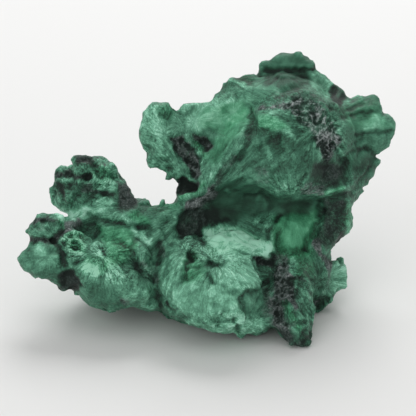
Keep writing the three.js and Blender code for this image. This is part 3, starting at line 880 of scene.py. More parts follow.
def folds(face):
    """The height of every broad fold, in millimetres."""
    heights = np.zeros(len(face.spots))
    for height, width, line in RIDGES:
        heights += RIDGE_GAIN * height * face.stroke(line, width)
    for depth, width, line in GROOVES:
        heights -= depth * face.stroke(line, width)
    for depth, outline in PITS:
        heights -= depth * face.patch(outline, PIT_EDGE)
    return heights - SHELL_STEP * face.step(SHELL_RIM[::-1], SHELL_REACH)


face = ShowFace(stone)
carve(stone, folds(face), along_view=0.6)
print("folds cut on", int(face.sight.sum()), "points")

# %% [markdown]
# ## Breaking the surface
#
# Bundles of fibres break off at different lengths, so silky stone is stepped like shingles, each
# step facing away from the centre of its spray. Between sprays the lump is broken in small facets,
# and the growths at its ends are crumpled. Each of these is one rule applied to every point,
# stronger where a patch says that the stone is rough.

# %% Shingles, facets and crumples
SHINGLE, SHINGLE_LENGTH = 0.14, 4.4  # height and length of a broken bundle, in millimetres
COMB = 0.16
FACET_SIZE, FACET_TILT, FACET_WARP = 4.2, 0.15, 0.5
CRUMPLE = 0.8
ROUGH_SEEN, ROUGH_UNSEEN = 0.16, 0.45
ROUGH_PATCHES = [
    (0.75, 1.0, [(-29, 27), (-28, 34), (-23, 37), (-17, 35.6), (-15.6, 31), (-19, 28),
        (-24, 26.4)]),
    (0.35, 1.0, [(-34, 20), (-33.6, 25.4), (-28, 26), (-25.6, 24), (-28, 20.6)]),
    (0.4, 1.5, [(-12.6, 38.6), (-7, 39), (-5, 32), (-9.6, 33), (-12, 36)]),
    (0.5, 1.5, [(10.4, 44.4), (18.4, 48), (24, 44.4), (25.6, 38), (21.6, 34), (17, 42)]),
    (0.1, 1.5, [(24, 44), (36, 42), (33, 36), (30, 30), (26.4, 36)]),
    (0.5, 1.5, COLUMN),
    (-0.3, 1.5, [(-1, 25.8), (3.6, 31.4), (9, 31), (14, 28), (22, 27), (13.6, 25), (2, 22.8)]),
    (-0.3, 1.5, [(19.4, 34), (26.2, 34), (25.6, 30.4), (19, 31)]),
    (-0.2, 1.5, [(0, 34), (8, 44), (14, 40), (20, 36), (12, 33)]),
    (-0.25, 1.5, [(-33, 17), (-30, 20), (-26.6, 17), (-27, 14.4), (-31, 14)]),
    (-0.2, 1.5, [(12.6, 24), (21, 25), (19.4, 18), (13, 17)]),
]


CRISP_PATCHES = [  # calm where it is silk or polish, crisp where it is broken
    (-0.35, 1.5, [(1.4, 19.6), (2, 21.8), (6, 22), (10, 20.6), (9, 18.8), (4, 18.6)]),
    (-0.8, 1.5, [(0, 25.6), (1.4, 28.4), (4, 31), (9, 30.6), (12, 28.4), (18, 27.6), (21.6, 27.4),
        (21, 25.4), (12, 25), (4, 23.4)]),
    (-0.55, 1.5, WALL),
    (-0.5, 1.5, [(-1, 40.6), (-3, 44), (8, 46.6), (8.6, 43), (3.4, 36), (0.6, 33.6)]),
    (-0.75, 1.0, [(10.4, 52.4), (13, 54.4), (17, 55), (19.6, 53.4), (19.8, 52), (11.4, 51.8)]),
    (-0.5, 1.2, [(6.8, 10.6), (10.2, 10.8), (11, 6.4), (7.4, 5.8)]),
    (-0.6, 1.5, RIGHT_HOLLOW),
    (-0.4, 1.2, [(-22, 11.8), (-17, 11.4), (-16, 8), (-22, 8)]),
    (-0.35, 1.5, [(-6, 6.6), (-6.4, 14), (0, 11), (9.6, 12.6), (7.6, 16.6), (5.4, 6.6)]),
    (1.1, 1.0, [(-5, 17.4), (-4.6, 20.4), (0.4, 21), (1, 18.6), (3.4, 16.4), (-0.6, 16)]),
    (0.1, 1.0, [(-3, 6), (0, 3), (8, 2.4), (11.6, 3.6), (7, 6.4)]),
    (0.2, 1.2, [(9.6, 44.4), (15, 46), (20, 46.4), (24.4, 43), (25.2, 38), (22, 34.6), (19.4, 39),
        (15, 43.6)]),
    (-0.1, 1.2, [(-12.4, 38.6), (-7, 38.6), (-5, 32), (-9, 33), (-11.6, 35.6)]),
    (-0.4, 1.2, [(18.6, 51), (22.6, 50), (23, 46.4), (19.4, 48.6)]),
    (1.2, 1.0, [(-27, 21.6), (-22.6, 21.6), (-22.2, 16.6), (-26, 16.6)]),
    (0.4, 1.0, [(-29, 27), (-28, 34), (-23, 36.4), (-17, 35), (-15.6, 31), (-19, 29), (-24, 27)]),
    (0.9, 1.2, [(-22, 19), (-14, 18.6), (-10, 13), (-18, 12)]),
    (0.1, 1.0, COLUMN),
    (0.3, 1.0, [(-7, 39), (-1, 40), (1.4, 38), (-1, 31), (-3, 32)]),
    (-0.6, 1.0, [(-27.4, 14.4), (-24, 14.4), (-23.4, 10.8), (-27.4, 10.6)]),
    (0.5, 1.2, [(-23.4, 15.4), (-22, 17), (-19, 16), (-19.4, 13), (-22.6, 13.4)]),
    (-0.5, 1.2, [(9, 51.4), (19.6, 51.6), (20, 48.4), (9, 47)]),
    (-0.3, 1.5, [(5, 35), (9, 39.6), (18, 38), (19, 33), (8, 31)]),
    (-0.3, 1.2, [(-28, 28), (-26, 31), (-22.6, 29), (-23, 26.6)]),
    (-0.5, 1.5, [(24.6, 44.4), (31, 47.4), (36, 42), (34, 36.4), (31, 30), (26.6, 33), (26, 40)]),
    (-0.4, 1.2, [(-34, 19), (-28, 19.6), (-27, 14), (-31, 12.6), (-35, 15)]),
]


def cells(spots, size, seed):
    """Scattered cells: each spot's offset from its cell's middle, and that cell's number."""
    rng = np.random.default_rng(seed)
    corner = spots.min(0) - size
    counts = np.ceil((spots.max(0) + size - corner) / size).astype(int) + 1
    grid = np.stack(np.meshgrid(*[np.arange(n) for n in counts], indexing="ij"), -1).reshape(-1, 3)
    middles = corner + (grid + rng.uniform(-0.45, 0.45, grid.shape)) * size
    tree = KDTree(len(middles))
    for number, middle in enumerate(middles):
        tree.insert(middle, number)
    tree.balance()
    number = np.array([tree.find(spot)[1] for spot in spots])
    return spots - middles[number], number


def broken(thing, face):
    """The height of the rough surface at each point, in millimetres."""
    points = get_points(thing)
    spots = points / MM
    fibres, along, streaks = nearest_spray(points)
    silk = 1 - np.abs((fibres * get_normals(thing)).sum(1))
    calm = np.clip(1 + face.tally(CRISP_PATCHES), 0.1, 1)
    silky = ramp(silk, 0.2, 0.7) * ramp(along, 1.0, 3.5) * calm
    rough = ROUGH_SEEN + ROUGH_UNSEEN * (1 - face.sight) + face.tally(ROUGH_PATCHES)
    rough = np.clip(rough, 0.0, 1.4)
    phase = along / SHINGLE_LENGTH + 1.6 * noise(streaks, 1.6, 12) + 0.4 * noise(streaks, 0.7, 13)
    heights = SHINGLE * (phase % 1.0 - 0.5) * silky * (0.35 + 0.6 * rough)
    heights += COMB * (crests(streaks, 1.5, 16) + 0.5 * crests(streaks, 0.7, 17)) * silky
    warp = FACET_WARP * np.column_stack([noise(spots, 2.0, seed) for seed in (51, 52, 53)])
    offset, number = cells(spots + warp, FACET_SIZE, 14)
    tilts = np.random.default_rng(15).normal(0, FACET_TILT, (number.max() + 1, 3))
    heights += (offset * tilts[number]).sum(1) * (0.35 + 0.7 * rough)
    wrinkles = 0.6 * crests(spots, 3.3, 21) + 0.4 * crests(spots, 1.6, 22) - 0.2
    return heights + CRUMPLE * rough * wrinkles


carve(stone, broken(stone, face), along_view=0.0)
stone = remeshed(stone, LAST_VOXEL)
largest_piece(stone)
print("second skin:", len(stone.data.vertices), "vertices")
print("triangles:", 2 * len(stone.data.polygons))

# %% [markdown]
# ## Painting
#
# Colour follows the growth. Silky places that lie along the fibres are pale mint, which is partly
# the stone's own colour and partly painted sheen; places where the fibres are cut across are deep
# green, fresh walls are vivid, and old folds hold a purple-black crust. Values stored on the skin
# carry this to the material: tone, vivid, crust, pits, lace, grain and crisp, beside the fibre's
# streak and the distance along it; tone and pits also carry painted shade and painted highlights.
# They start from the shape itself, so the back is painted too: hollows are crusted and painted dark
# as shade, and edges are painted pale as highlight. Then listed patches and strokes set the show
# side, some of them painted shade in caves, holes and under ledges, and painted highlights and
# glints on rims and knobs.

# %% Patches and strokes of tone, vivid green and crust
# Besides the stone's own tone, some patches here are painted light: painted shade in caves, holes and
# under the shelf and the cap, and painted light on the fan's upward face.
TONE_AND_PAINTED_LIGHT_PATCHES = [  # (amount, edge, outline)
    # painted shade in the low recess
    (-0.45, 1.0, LOW_CAVE),
    (0.6, 1.2, [(-12.6, 40.5), (-11.4, 45), (-7.6, 45.6), (-5.6, 44), (-3, 45.6), (2, 46.4),
        (8, 46.4), (8.4, 43.4), (4, 42), (-1, 40.4), (-6.8, 40.2), (-9, 39.2)]),
    (0.3, 1.0, [(-12.4, 39), (-8, 39.4), (-6.8, 38), (-5.2, 34.6), (-5, 32), (-9, 33.4),
        (-11.6, 36)]),
    (-0.75, 1.0, CAP_KNOB),
    (0.5, 0.6, [(19, 51), (20.2, 51.5), (22.7, 50.2), (23.1, 49), (22.9, 46.4), (21.6, 46.3),
        (19.5, 48.6)]),
    (-0.3, 1.0, [(24, 44.6), (31, 47.6), (33.4, 44.4), (30, 43.4), (25, 42.4)]),
    (0.8, 0.8, [(28.6, 40.6), (29, 42), (32, 43.6), (33.6, 42.6), (33, 40.6), (30, 39.9)]),
    (0.35, 0.8, [(33.6, 42.6), (35.8, 41.6), (35.4, 39.8), (33, 40.4)]),
    (0.65, 0.8, [(9.2, 42.8), (10.9, 43.3), (14.3, 42.3), (16, 40.9), (16.8, 39), (14.5, 40.1),
        (12.6, 40.7), (9.8, 41.2)]),
    # partly the mint of the fan's silk, partly painted light on its upward face
    (1.2, 1.0, [(-0.9, 22.2), (1.8, 22.5), (5.9, 22.4), (9.3, 20.8), (12.2, 19.4), (12.6, 17.7),
        (11.1, 16.7), (9.5, 16.9), (7.9, 18.1), (5, 18.1), (2.6, 17.1), (0.4, 17.2)]),
    (0.1, 1.0, [(-4.8, 18.2), (-3.2, 20.4), (-0.2, 20.3), (0.3, 18.2), (-1.4, 17.6), (-3.4, 17.4)]),
    (0.45, 1.6, [(-8.4, 14.6), (-6.2, 18.6), (-3.6, 18.8), (0, 16.8), (4, 17.4), (8, 17.4), (9, 15),
        (10, 12.4), (7, 11), (6, 8), (5.4, 5.8), (-1, 5.8), (-6, 7.2), (-7.8, 9)]),
    (0.3, 0.6, LOBE_TOP),
    (0.35, 0.8, [(1.6, 16.8), (8.8, 16.9), (10.6, 12.4), (9.5, 11.2), (7, 11), (4.6, 11.4),
        (2.6, 13)]),
    (0.35, 1.6, [(-22.4, 14.8), (-17, 15), (-12, 11.6), (-9, 8.2), (-9, 6.6), (-15, 8), (-18, 11.4),
        (-21, 12.4)]),
    (-0.15, 1.0, [(15.6, 3.4), (18.4, 3.4), (18.4, 0.8), (15.6, 0.8)]),
    (-0.15, 1.4, [(6.4, 48), (9.6, 48.2), (9.6, 45.4), (6.4, 45.4)]),
    (0.12, 1.4, [(28, 38.6), (32, 38.6), (32, 35.6), (28, 35.6)]),
    (-0.2, 1.4, [(-22.6, 12), (-16.6, 11.6), (-15, 7), (-21.6, 8)]),
    (-0.45, 1.2, [(13.4, 27), (19.6, 27.2), (19, 25.2), (13.6, 24.8)]),
    (-0.25, 1.2, [(12.9, 25.4), (15.4, 25.6), (15, 22.6), (12.9, 21.8)]),
    (-0.3, 1.0, [(-3, 7), (3, 7), (3, 5.6), (-3, 5.6)]),
    (0.12, 1.0, [(4.6, 5), (7.6, 5), (7.6, 3), (4.6, 3)]),
    (0.2, 1.6, [(2.4, 43), (6.6, 43), (6.6, 39), (2.4, 39)]),
    (-0.2, 1.0, [(-3.4, 20), (-0.8, 20.4), (-0.8, 17.8), (-3.4, 17.8)]),
    (-0.2, 1.4, [(-8, 15), (-4.4, 15), (-4.4, 11.4), (-8, 11.4)]),
    (0.25, 1.0, [(13.4, 15.6), (16.4, 15.6), (16.4, 12.6), (13.4, 12.6)]),
    (-0.2, 1.2, [(-12, 39.4), (-9, 39.4), (-9, 36.6), (-12, 36.6)]),
    (-0.2, 1.4, [(26, 35), (31, 34.6), (30, 32), (27.4, 30), (26.4, 32)]),
    (-0.18, 1.2, [(-20.6, 27.8), (-17.6, 27.8), (-17.6, 25.2), (-20.6, 25.2)]),
    (-0.2, 1.2, [(-31.8, 23.2), (-29.4, 23.2), (-29.4, 20.8), (-31.8, 20.8)]),
    (-0.18, 1.0, [(12.8, 24), (15.2, 24), (15.2, 22), (12.8, 22)]),
    (0.3, 1.2, [(-10.4, 17.4), (-8.2, 18.4), (-7.6, 9), (-9.6, 8.6), (-10.6, 12)]),
    (0.2, 1.2, [(-23, 22.6), (-20.4, 22.6), (-20.4, 20.4), (-23, 20.4)]),
    (0.1, 1.4, [(28.6, 38.4), (33, 38.6), (31.6, 36), (28.6, 36)]),
    (0.15, 1.6, [(9, 38), (14, 38.6), (14.6, 35), (10, 34.6)]),
    (0.25, 1.2, [(-12.6, 36.6), (-11.6, 45), (-7, 45.6), (-5.6, 43), (-7, 40), (-9, 36.6)]),
    (-0.25, 1.0, CAP_NET),
    (-0.6, 1.0, BAY_CORNER),
    (0.28, 1.4, [(-20.6, 21.6), (-14.6, 22), (-13.6, 19), (-15.4, 16), (-19, 15.4), (-19, 18)]),
    (0.1, 0.8, [(13.2, 31), (15.6, 31.4), (17.4, 29.8), (16.8, 28.4), (13.4, 28.4)]),
    (0.2, 1.0, [(11.6, 51.4), (19.2, 51.4), (18.6, 48.6), (12, 48.4)]),
    (0.62, 0.7, [(22.8, 15.8), (26.3, 16.2), (26.8, 11), (24.6, 10), (23, 10.4)]),
    (0.4, 0.8, [(11.8, 28.8), (13, 31), (15.4, 31.4), (17.2, 29.8), (21.6, 29.4), (21.6, 28.2),
        (14, 28.2)]),
    (0.75, 1.0, [(-4, 4.6), (0, 3.4), (5, 2.4), (8, 2.6), (11, 3.4), (11.4, 5.4), (7, 6.4),
        (2, 6.2), (-3, 6.2)]),
    (-0.35, 0.8, [(9.8, 53.4), (13, 55), (16.5, 55.8), (20.6, 52.8), (20.2, 51.4), (11, 51.4)]),
    # painted shade under the cap
    (-0.8, 1.0, [(11.6, 51.4), (19.2, 51.4), (19.6, 49), (17, 48.4), (12.8, 48.2), (10.6, 49)]),
    (-1.05, 0.6, [(22.9, 46.6), (22.8, 48), (23.3, 48.8), (24.4, 48.8), (26.2, 46.6), (25, 45),
        (23.4, 45.6)]),
    (-0.5, 0.6, [(5, 49.8), (5.6, 50.8), (9.2, 50.9), (8.6, 48.6), (7.6, 48.3), (6.2, 49.5)]),
    (-0.35, 0.8, [(1.7, 46.4), (2, 47.6), (3.4, 48.8), (4, 50.2), (4.6, 49.8), (3.6, 48)]),
    (-0.2, 1.6, [(4.6, 32.4), (5.2, 35.4), (8, 41.6), (9, 42), (10.4, 40.8), (12.6, 40.2),
        (16, 38.8), (19.6, 37.6), (20, 34), (18, 31.6), (12, 32.4)]),
    (-0.35, 1.4, [(0.4, 35.4), (3.4, 38.8), (4.6, 37.6), (2.2, 34.6)]),
    (0.4, 1.6, [(-4, 41), (-3, 44), (6, 45.4), (9, 44.8), (7.4, 42), (2, 40.6)]),
    # painted shade under the shelf and in the cave beside the fan, fading to the right
    (-0.5, 1.2, [(-1.2, 25.6), (0.6, 28.4), (3.6, 31.4), (8.6, 30.8), (12.4, 28.6), (16, 27.8),
        (22, 27.8), (21.6, 26.8), (14, 26.2), (9, 24), (2, 22.8)]),
    (-0.7, 1.4, [(-5.8, 22), (-4.6, 25.6), (-2, 26), (0.6, 25), (2, 24), (1, 22.7), (-1.6, 21.5),
        (-4.2, 19.9)]),
    (-0.4, 1.6, [(0, 25.8), (3, 26.2), (6.4, 25.2), (6, 23.2), (2, 22.8), (0.6, 23)]),
    # the dark hole: painted shade, beside its crust
    (-1.3, 0.6, DARK_HOLE),
    (0.5, 0.8, [(25.9, 27), (27.2, 26.8), (27.6, 24), (26.8, 20.8), (25.4, 20.2), (26, 23.4)]),
    # painted shade in the groove under the flange's edge and beside it
    (-0.8, 0.5, [(21.8, 27.9), (25.4, 29.4), (26.8, 28.8), (25, 27.6)]),
    (-0.5, 0.6, [(20.8, 29.4), (22.2, 28.9), (25.2, 30.4), (24.6, 31), (21.4, 30.6)]),
    (-0.65, 2.8, [(20.4, 34.2), (22.8, 34.8), (25.6, 33.8), (26.2, 31.6), (24.4, 30.2), (21, 30.2),
        (19, 32)]),
    (-1.0, 1.0, [(21.8, 27.6), (25.8, 27.8), (26.4, 24), (25.6, 20.6), (23.4, 18.6), (20.4, 19.6),
        (22, 23.4)]),
    (-0.3, 1.4, [(-24.2, 23.2), (-20, 23.4), (-19.4, 21), (-22, 19.6), (-24, 20.6)]),
    (-0.85, 1.2, [(-24.6, 36.2), (-21, 36.2), (-20.4, 34), (-24.6, 33.8)]),
    (-0.3, 1.0, [(-27, 30), (-24.6, 31), (-23.4, 29.4), (-23.6, 27), (-25, 26.6), (-26.8, 27.8)]),
    (0.85, 0.8, [(-20.2, 31), (-16.8, 31.6), (-16.8, 29.4), (-20, 29.4)]),
    (1.15, 1.0, [(-20.6, 27.4), (-17.4, 27.6), (-17.2, 25.6), (-20.2, 25.2)]),
    (-0.15, 1.4, [(-28, 29), (-26, 34.4), (-20, 35.6), (-20, 33), (-23, 28)]),
    (1.65, 1.2, [(-23.4, 15), (-22, 16.6), (-20.6, 16.2), (-19.4, 14.2), (-20.4, 13.2),
        (-22.6, 13.8)]),
    (-0.3, 1.2, [(-32.4, 14), (-27.6, 15), (-26.8, 13), (-29, 11.6)]),
    (-0.15, 1.2, [(12.8, 9.8), (13.2, 16.6), (16, 15.4), (18.6, 12.4), (18.6, 9), (16, 4),
        (14, 4.4), (12.6, 7)]),
    (-0.2, 1.0, [(9.6, 15.4), (12.6, 15.6), (13, 11.8), (11.2, 9.8)]),
    (-0.6, 0.8, [(20, 9.6), (23.6, 9.6), (22, 6.6), (19.8, 6)]),
    (-0.18, 1.0, [(16.4, 18.5), (20.4, 18), (21.6, 14), (20, 11), (17, 13.4)]),
    (-1.0, 1.0, [(13, 3.6), (16, 3), (20.4, 2.6), (20, -0.4), (15.4, -0.8)]),
    (0.1, 1.2, [(6.6, 10.8), (10.2, 11), (11, 6.4), (7.4, 5.4)]),
    (-1.3, 1.0, [(-27.4, 14.2), (-24.2, 14.4), (-23.2, 11.4), (-24.4, 10.4), (-27.6, 11)]),
    (-0.35, 1.4, [(27.6, 37.4), (33, 36.6), (32.4, 34.6), (29.6, 30.6), (27.4, 33.4),
        (26.2, 36.6)]),
    (0.45, 2.6, [(14.6, 22.2), (15.8, 24.2), (19.8, 24.8), (19.4, 21), (17.6, 18.4), (14, 18.4)]),
    (-0.3, 1.0, [(20, 19.8), (22.4, 19), (22.8, 16.4), (21, 16)]),
    (0.55, 1.0, [(16, 45.8), (18, 46.4), (21.4, 45), (23.8, 42.6), (25.2, 39.4), (24, 37),
        (21.4, 35), (20, 38), (20, 41.4), (16.8, 42.6)]),
    (0.8, 0.9, [(9.8, 43.8), (12.4, 45.6), (15.8, 45.4), (15, 43.8), (12, 43.6)]),
]
# Besides the stone's own tone, some strokes here are painted light: painted glints and highlights on
# rims and knobs, and painted shade in grooves and under ledges.
TONE_AND_PAINTED_LIGHT_STROKES = [  # (amount, width, line)
    (0.2, 2.4, [(0.6, 33.4), (3.4, 38), (7, 42.4)]),
    (0.6, 0.6, [(4.4, 50), (5.6, 49.6), (7.6, 48.2)]),
    (0.3, 2.2, [(3.4, 46.6), (9, 47), (13, 48)]),
    (0.35, 0.9, [(-4.9, 28.3), (-2.1, 29), (-0.5, 30.4), (1.2, 32.3)]),
    (1.25, 1.9, [(-27, 24.9), (-24.4, 24.6), (-22, 25.2)]),
    (0.4, 1.2, [(-21.6, 25.4), (-18, 24.2), (-13, 23.6)]),
    (0.7, 0.9, [(-21.8, 19.6), (-20.8, 18.6), (-20, 17.6)]),
    # a painted glint on the arm
    (1.8, 0.4, [(-19.9, 17.8), (-19.1, 16.8), (-18.6, 16.3)]),
    (-1.5, 0.4, [(-19.4, 18.3), (-18.6, 17.3)]),
    # painted glints
    (1.2, 0.35, [(-6, 24.6), (-5.7, 24.1)]),
    (1.1, 0.35, [(9.4, 23.5), (9.7, 23.2)]),
    (1.0, 0.35, [(11.2, 22.9), (11.6, 22.5)]),
    (-0.25, 1.3, [(1, 29), (3, 32.4), (5, 35)]),
    (0.3, 1.6, [(0.6, 21.4), (2.4, 20.6)]),
    (0.9, 0.5, [(-17.8, 15), (-15.4, 13.2)]),
    (0.8, 0.5, [(-18.4, 13.6), (-16.2, 12)]),
    # painted highlight on the lower dome
    (0.85, 1.5, [(-31, 18.9), (-30.7, 17.7)]),
    (0.3, 1.0, [(-30.6, 22.6), (-30, 21.4), (-29, 21)]),
    (0.4, 0.7, [(-29.4, 22.8), (-28.4, 21.8)]),
    (0.5, 1.6, [(-30.6, 15.8), (-28, 16.4)]),
    (0.6, 0.8, [(-27.2, 24.2), (-26.4, 23.4)]),
    (0.7, 0.5, [(-21.5, 33.2), (-21, 32.4), (-20.2, 31.1)]),
    (0.6, 0.5, [(-19, 33.3), (-18, 33.1), (-17, 32.4)]),
    (0.5, 0.5, [(-27, 31.2), (-25.4, 30.9), (-23.8, 31)]),
    (0.5, 0.7, [(-28.8, 28.4), (-28.6, 27.2), (-27.8, 26.2)]),
    (0.4, 0.5, [(-27.4, 28.2), (-26.8, 27)]),
    (0.4, 0.6, [(-26.6, 34.2), (-25.2, 33.4), (-23.4, 33.2)]),
    (0.5, 0.7, [(-20.2, 34.8), (-18.6, 34.8), (-17.6, 33.8)]),
    (0.85, 0.5, [(-25.4, 19), (-24.6, 17.6), (-23.2, 17.8), (-22.7, 19.2), (-23.6, 20.2),
        (-25, 20.2)]),
    (0.6, 0.5, [(-26.9, 20), (-26, 20.6), (-25, 21.4), (-23.6, 21)]),
    (0.4, 0.8, [(-25.6, 17), (-25.2, 15.2)]),
    # painted highlight along the flange's edge
    (0.7, 0.35, FLANGE_EDGE),
    (-0.5, 1.0, [(13, 46.1), (15.1, 46.8), (17.6, 47.4), (19.4, 47.1), (21.6, 45.7), (23.6, 44.2)]),
    (0.5, 0.6, [(23, 49), (22.6, 47), (22.3, 45.8)]),
    # painted highlights and a painted glint on the shell's rim tip
    (0.5, 0.9, [(12.6, 20.8), (12.4, 18.6)]),
    (0.9, 0.5, [(12.3, 19.2), (12.2, 18), (11.2, 17), (10.4, 17.1)]),
    (0.9, 0.45, [(11, 17.3), (11.4, 16.9)]),
    (0.5, 0.9, [(10.6, 38.6), (11.7, 35.8)]),
    (0.35, 0.8, [(-6.9, 26.3), (-5.4, 25.8)]),
    (0.5, 0.5, [(-8.3, 26.6), (-8.3, 28.6)]),
    (0.4, 0.6, [(-12.2, 28.2), (-9, 26.7), (-6, 26.9)]),
    # painted shade in the groove under the cap
    (-0.35, 0.6, [(11, 51.5), (15.6, 51.6), (20.2, 51.8)]),
    (-0.4, 0.8, [(-21.6, 24.6), (-18.5, 23.2), (-13.5, 22.7), (-10.4, 21.8)]),
    (-0.4, 1.2, [(8.6, 42), (8, 38), (5.6, 35.6)]),
    (-0.4, 0.5, [(24.7, 42.5), (27, 43), (30.9, 44.1)]),
    (-0.5, 0.5, [(26, 44.2), (28.6, 44.8)]),
    (-0.5, 0.6, [(27.5, 39.4), (31.6, 40.3), (35, 40.6)]),
    (-0.6, 0.6, [(31.6, 36.3), (29.8, 36.9), (28, 36.6)]),
    (-1.0, 0.8, [(-0.3, 15.3), (0.1, 15.9), (1.4, 15.7), (2.8, 15.6), (3.2, 16.2)]),
    (-0.9, 0.8, [(0.1, 14.1), (1.4, 12.2)]),
    (-0.7, 0.8, [(-1.8, 21.6), (-1, 20.4), (-0.4, 19.4)]),
    (-0.6, 0.7, [(0.4, 19.2), (1.6, 17.8), (2.6, 16.8)]),
    (-1.0, 0.9, [(-3.1, 17.7), (-2.9, 16.4)]),
    (-0.6, 0.5, [(-3.6, 15.8), (-3.9, 14), (-3.4, 12.6)]),
    (0.7, 0.6, [(-4, 17.1), (-5.6, 14.8), (-7, 11)]),
    (0.6, 0.7, [(0.6, 21.4), (1.4, 20.6), (5, 20.2)]),
    (0.4, 1.2, [(3, 17.6), (8, 17.5)]),
    (-0.5, 1.0, [(0.4, 24.6), (2, 23.6), (4, 23.8)]),
    # a painted glint
    (0.9, 0.4, [(-1.2, 18.8), (-0.2, 18.4)]),
    (0.6, 0.4, [(-4.1, 20.1), (-2.6, 19.9)]),
    (0.5, 0.5, [(0.4, 11.4), (2, 11.5), (3.6, 10.9)]),
    (0.4, 0.4, [(0.1, 13), (0.2, 11)]),
    (-0.8, 0.6, [(-7.3, 8.8), (-5.8, 7.2)]),
    (-0.7, 0.6, [(5, 5.6), (5.4, 4.4), (6.2, 3.1)]),
    (-0.5, 0.8, [(-1.4, 5), (3, 4.8), (5, 5.6)]),
    (-0.6, 0.6, [(5.6, 9), (7.2, 10.9), (9.6, 10.8), (10.6, 12.2)]),
    (-0.5, 0.5, [(6.6, 12.2), (7.8, 12)]),
    (-0.5, 1.0, [(-8.6, 19), (-8.8, 15.6), (-9.4, 12), (-8.4, 8)]),
    (-0.7, 1.0, [(-28, 20), (-27, 18), (-26.4, 15.6), (-24.8, 14.6)]),
    (-0.4, 1.2, [(-16.8, 20), (-14, 18), (-12.6, 16)]),
    (-0.9, 0.8, [(-27.8, 31), (-27.2, 29.8), (-26.4, 29.2)]),
    (-0.7, 0.8, [(-20.8, 28.8), (-17.8, 28.7)]),
    (-0.8, 0.8, [(-24, 31.8), (-21.4, 31.7)]),
    (-0.7, 1.0, [(-28, 32.2), (-25.6, 32.4)]),
    (-0.9, 1.1, [(-32.6, 20.3), (-30, 20.2), (-28.4, 20.4), (-26.6, 21.6)]),
    (-0.7, 0.8, [(-31.4, 23.7), (-29.4, 24.1), (-27.6, 23.6)]),
    # painted highlight on the arm
    (1.35, 1.0, [(-13.6, 22.2), (-12.4, 21), (-10.6, 19.8)]),
    (0.4, 1.0, [(-9.6, 22.8), (-7.6, 22)]),
    (1.0, 1.0, [(-3.2, 26.5), (-0.6, 27.2), (0.8, 28.8)]),
    (-0.5, 0.9, [(-2.2, 44.2), (-3.4, 43.4)]),
    (-0.4, 0.8, [(-7, 43.6), (-6.8, 40.4)]),
    (-0.5, 0.9, [(12.2, 22.2), (11.4, 21.6)]),
    (-0.8, 0.5, [(13.6, 24.9), (13.1, 23.4)]),
    # a painted shadow band at the foot of the wall
    (-0.5, 1.2, [(12.8, 17.4), (15.6, 18.2), (18.6, 18)]),
    (0.4, 0.7, [(14.4, 24.6), (12.9, 21.6)]),
]
VIVID_PATCHES = [
    (0.9, 2.0, [(12.6, 24.4), (15.4, 25.4), (21, 25.6), (20.4, 21), (18.6, 17), (14, 16.4),
        (12.4, 19)]),
    (0.9, 1.6, [(-20.4, 22.4), (-14, 22.4), (-13, 19), (-15, 15.8), (-19, 14.8), (-18, 18)]),
    (0.9, 0.8, [(-14.6, 25.4), (-12.6, 25.2), (-10.2, 23.4), (-10.6, 22.6), (-14, 23.8)]),
    (0.7, 1.4, [(-4.4, 16.4), (-2.2, 18), (-0.4, 15), (-0.8, 12.6), (-4.4, 12)]),
    (0.6, 1.0, [(16.4, 18.5), (20, 18), (20.2, 13.2), (17, 13.4)]),
    (0.9, 1.2, [(9.2, 43), (10.9, 43.5), (14.3, 42.4), (16, 40.9), (12.6, 40.5), (9.6, 41.2)]),
    (0.5, 0.8, [(25.9, 27), (27.2, 26.8), (27.6, 24), (26.8, 20.8), (26, 23.4)]),
    (0.5, 1.4, [(-2, 41.4), (0, 44.6), (7, 46), (8, 43), (3, 40)]),
    (0.3, 1.4, [(-0.9, 22), (5.9, 22.5), (11.6, 19.4), (7.9, 18.1), (1, 17)]),
    (0.35, 1.4, [(24, 44.4), (31, 47.2), (33, 43), (35.4, 41.2), (28, 40.4), (26, 41.4)]),
    (0.6, 1.4, [(-27, 21.4), (-22.6, 21.6), (-22.4, 17.6), (-25, 17.6)]),
    (0.5, 1.4, [(-21.4, 34), (-18, 34), (-17, 31.6), (-20, 31)]),
    (0.5, 1.0, [(-23.4, 15), (-22, 17.4), (-19, 17.4), (-18, 14.4), (-20.4, 13.2), (-22.6, 13.8)]),
    (0.4, 1.4, CAP_KNOB),
    (0.4, 1.0, [(5, 49.8), (5.6, 50.8), (9.2, 50.9), (8.6, 48.6), (6.2, 49.5)]),
]
VIVID_STROKES = [
    (0.6, 2.4, [(1.6, 36), (4, 39.4), (7.4, 43.4)]),
    (0.9, 0.9, [(13.2, 10.8), (15.6, 6.4), (17.3, 4)]),
    (0.8, 0.9, [(-4.9, 28.3), (-2.1, 29), (-0.5, 30.4)]),
    (0.9, 0.6, [(-2, 38.2), (-0.8, 36.8), (-0.2, 35.6)]),
    (0.6, 1.4, [(-10, 26.6), (-6, 26.4)]),
    (0.7, 0.8, [(-27.4, 23.8), (-25.4, 21.6)]),
    (0.9, 0.6, FLANGE_EDGE),
]
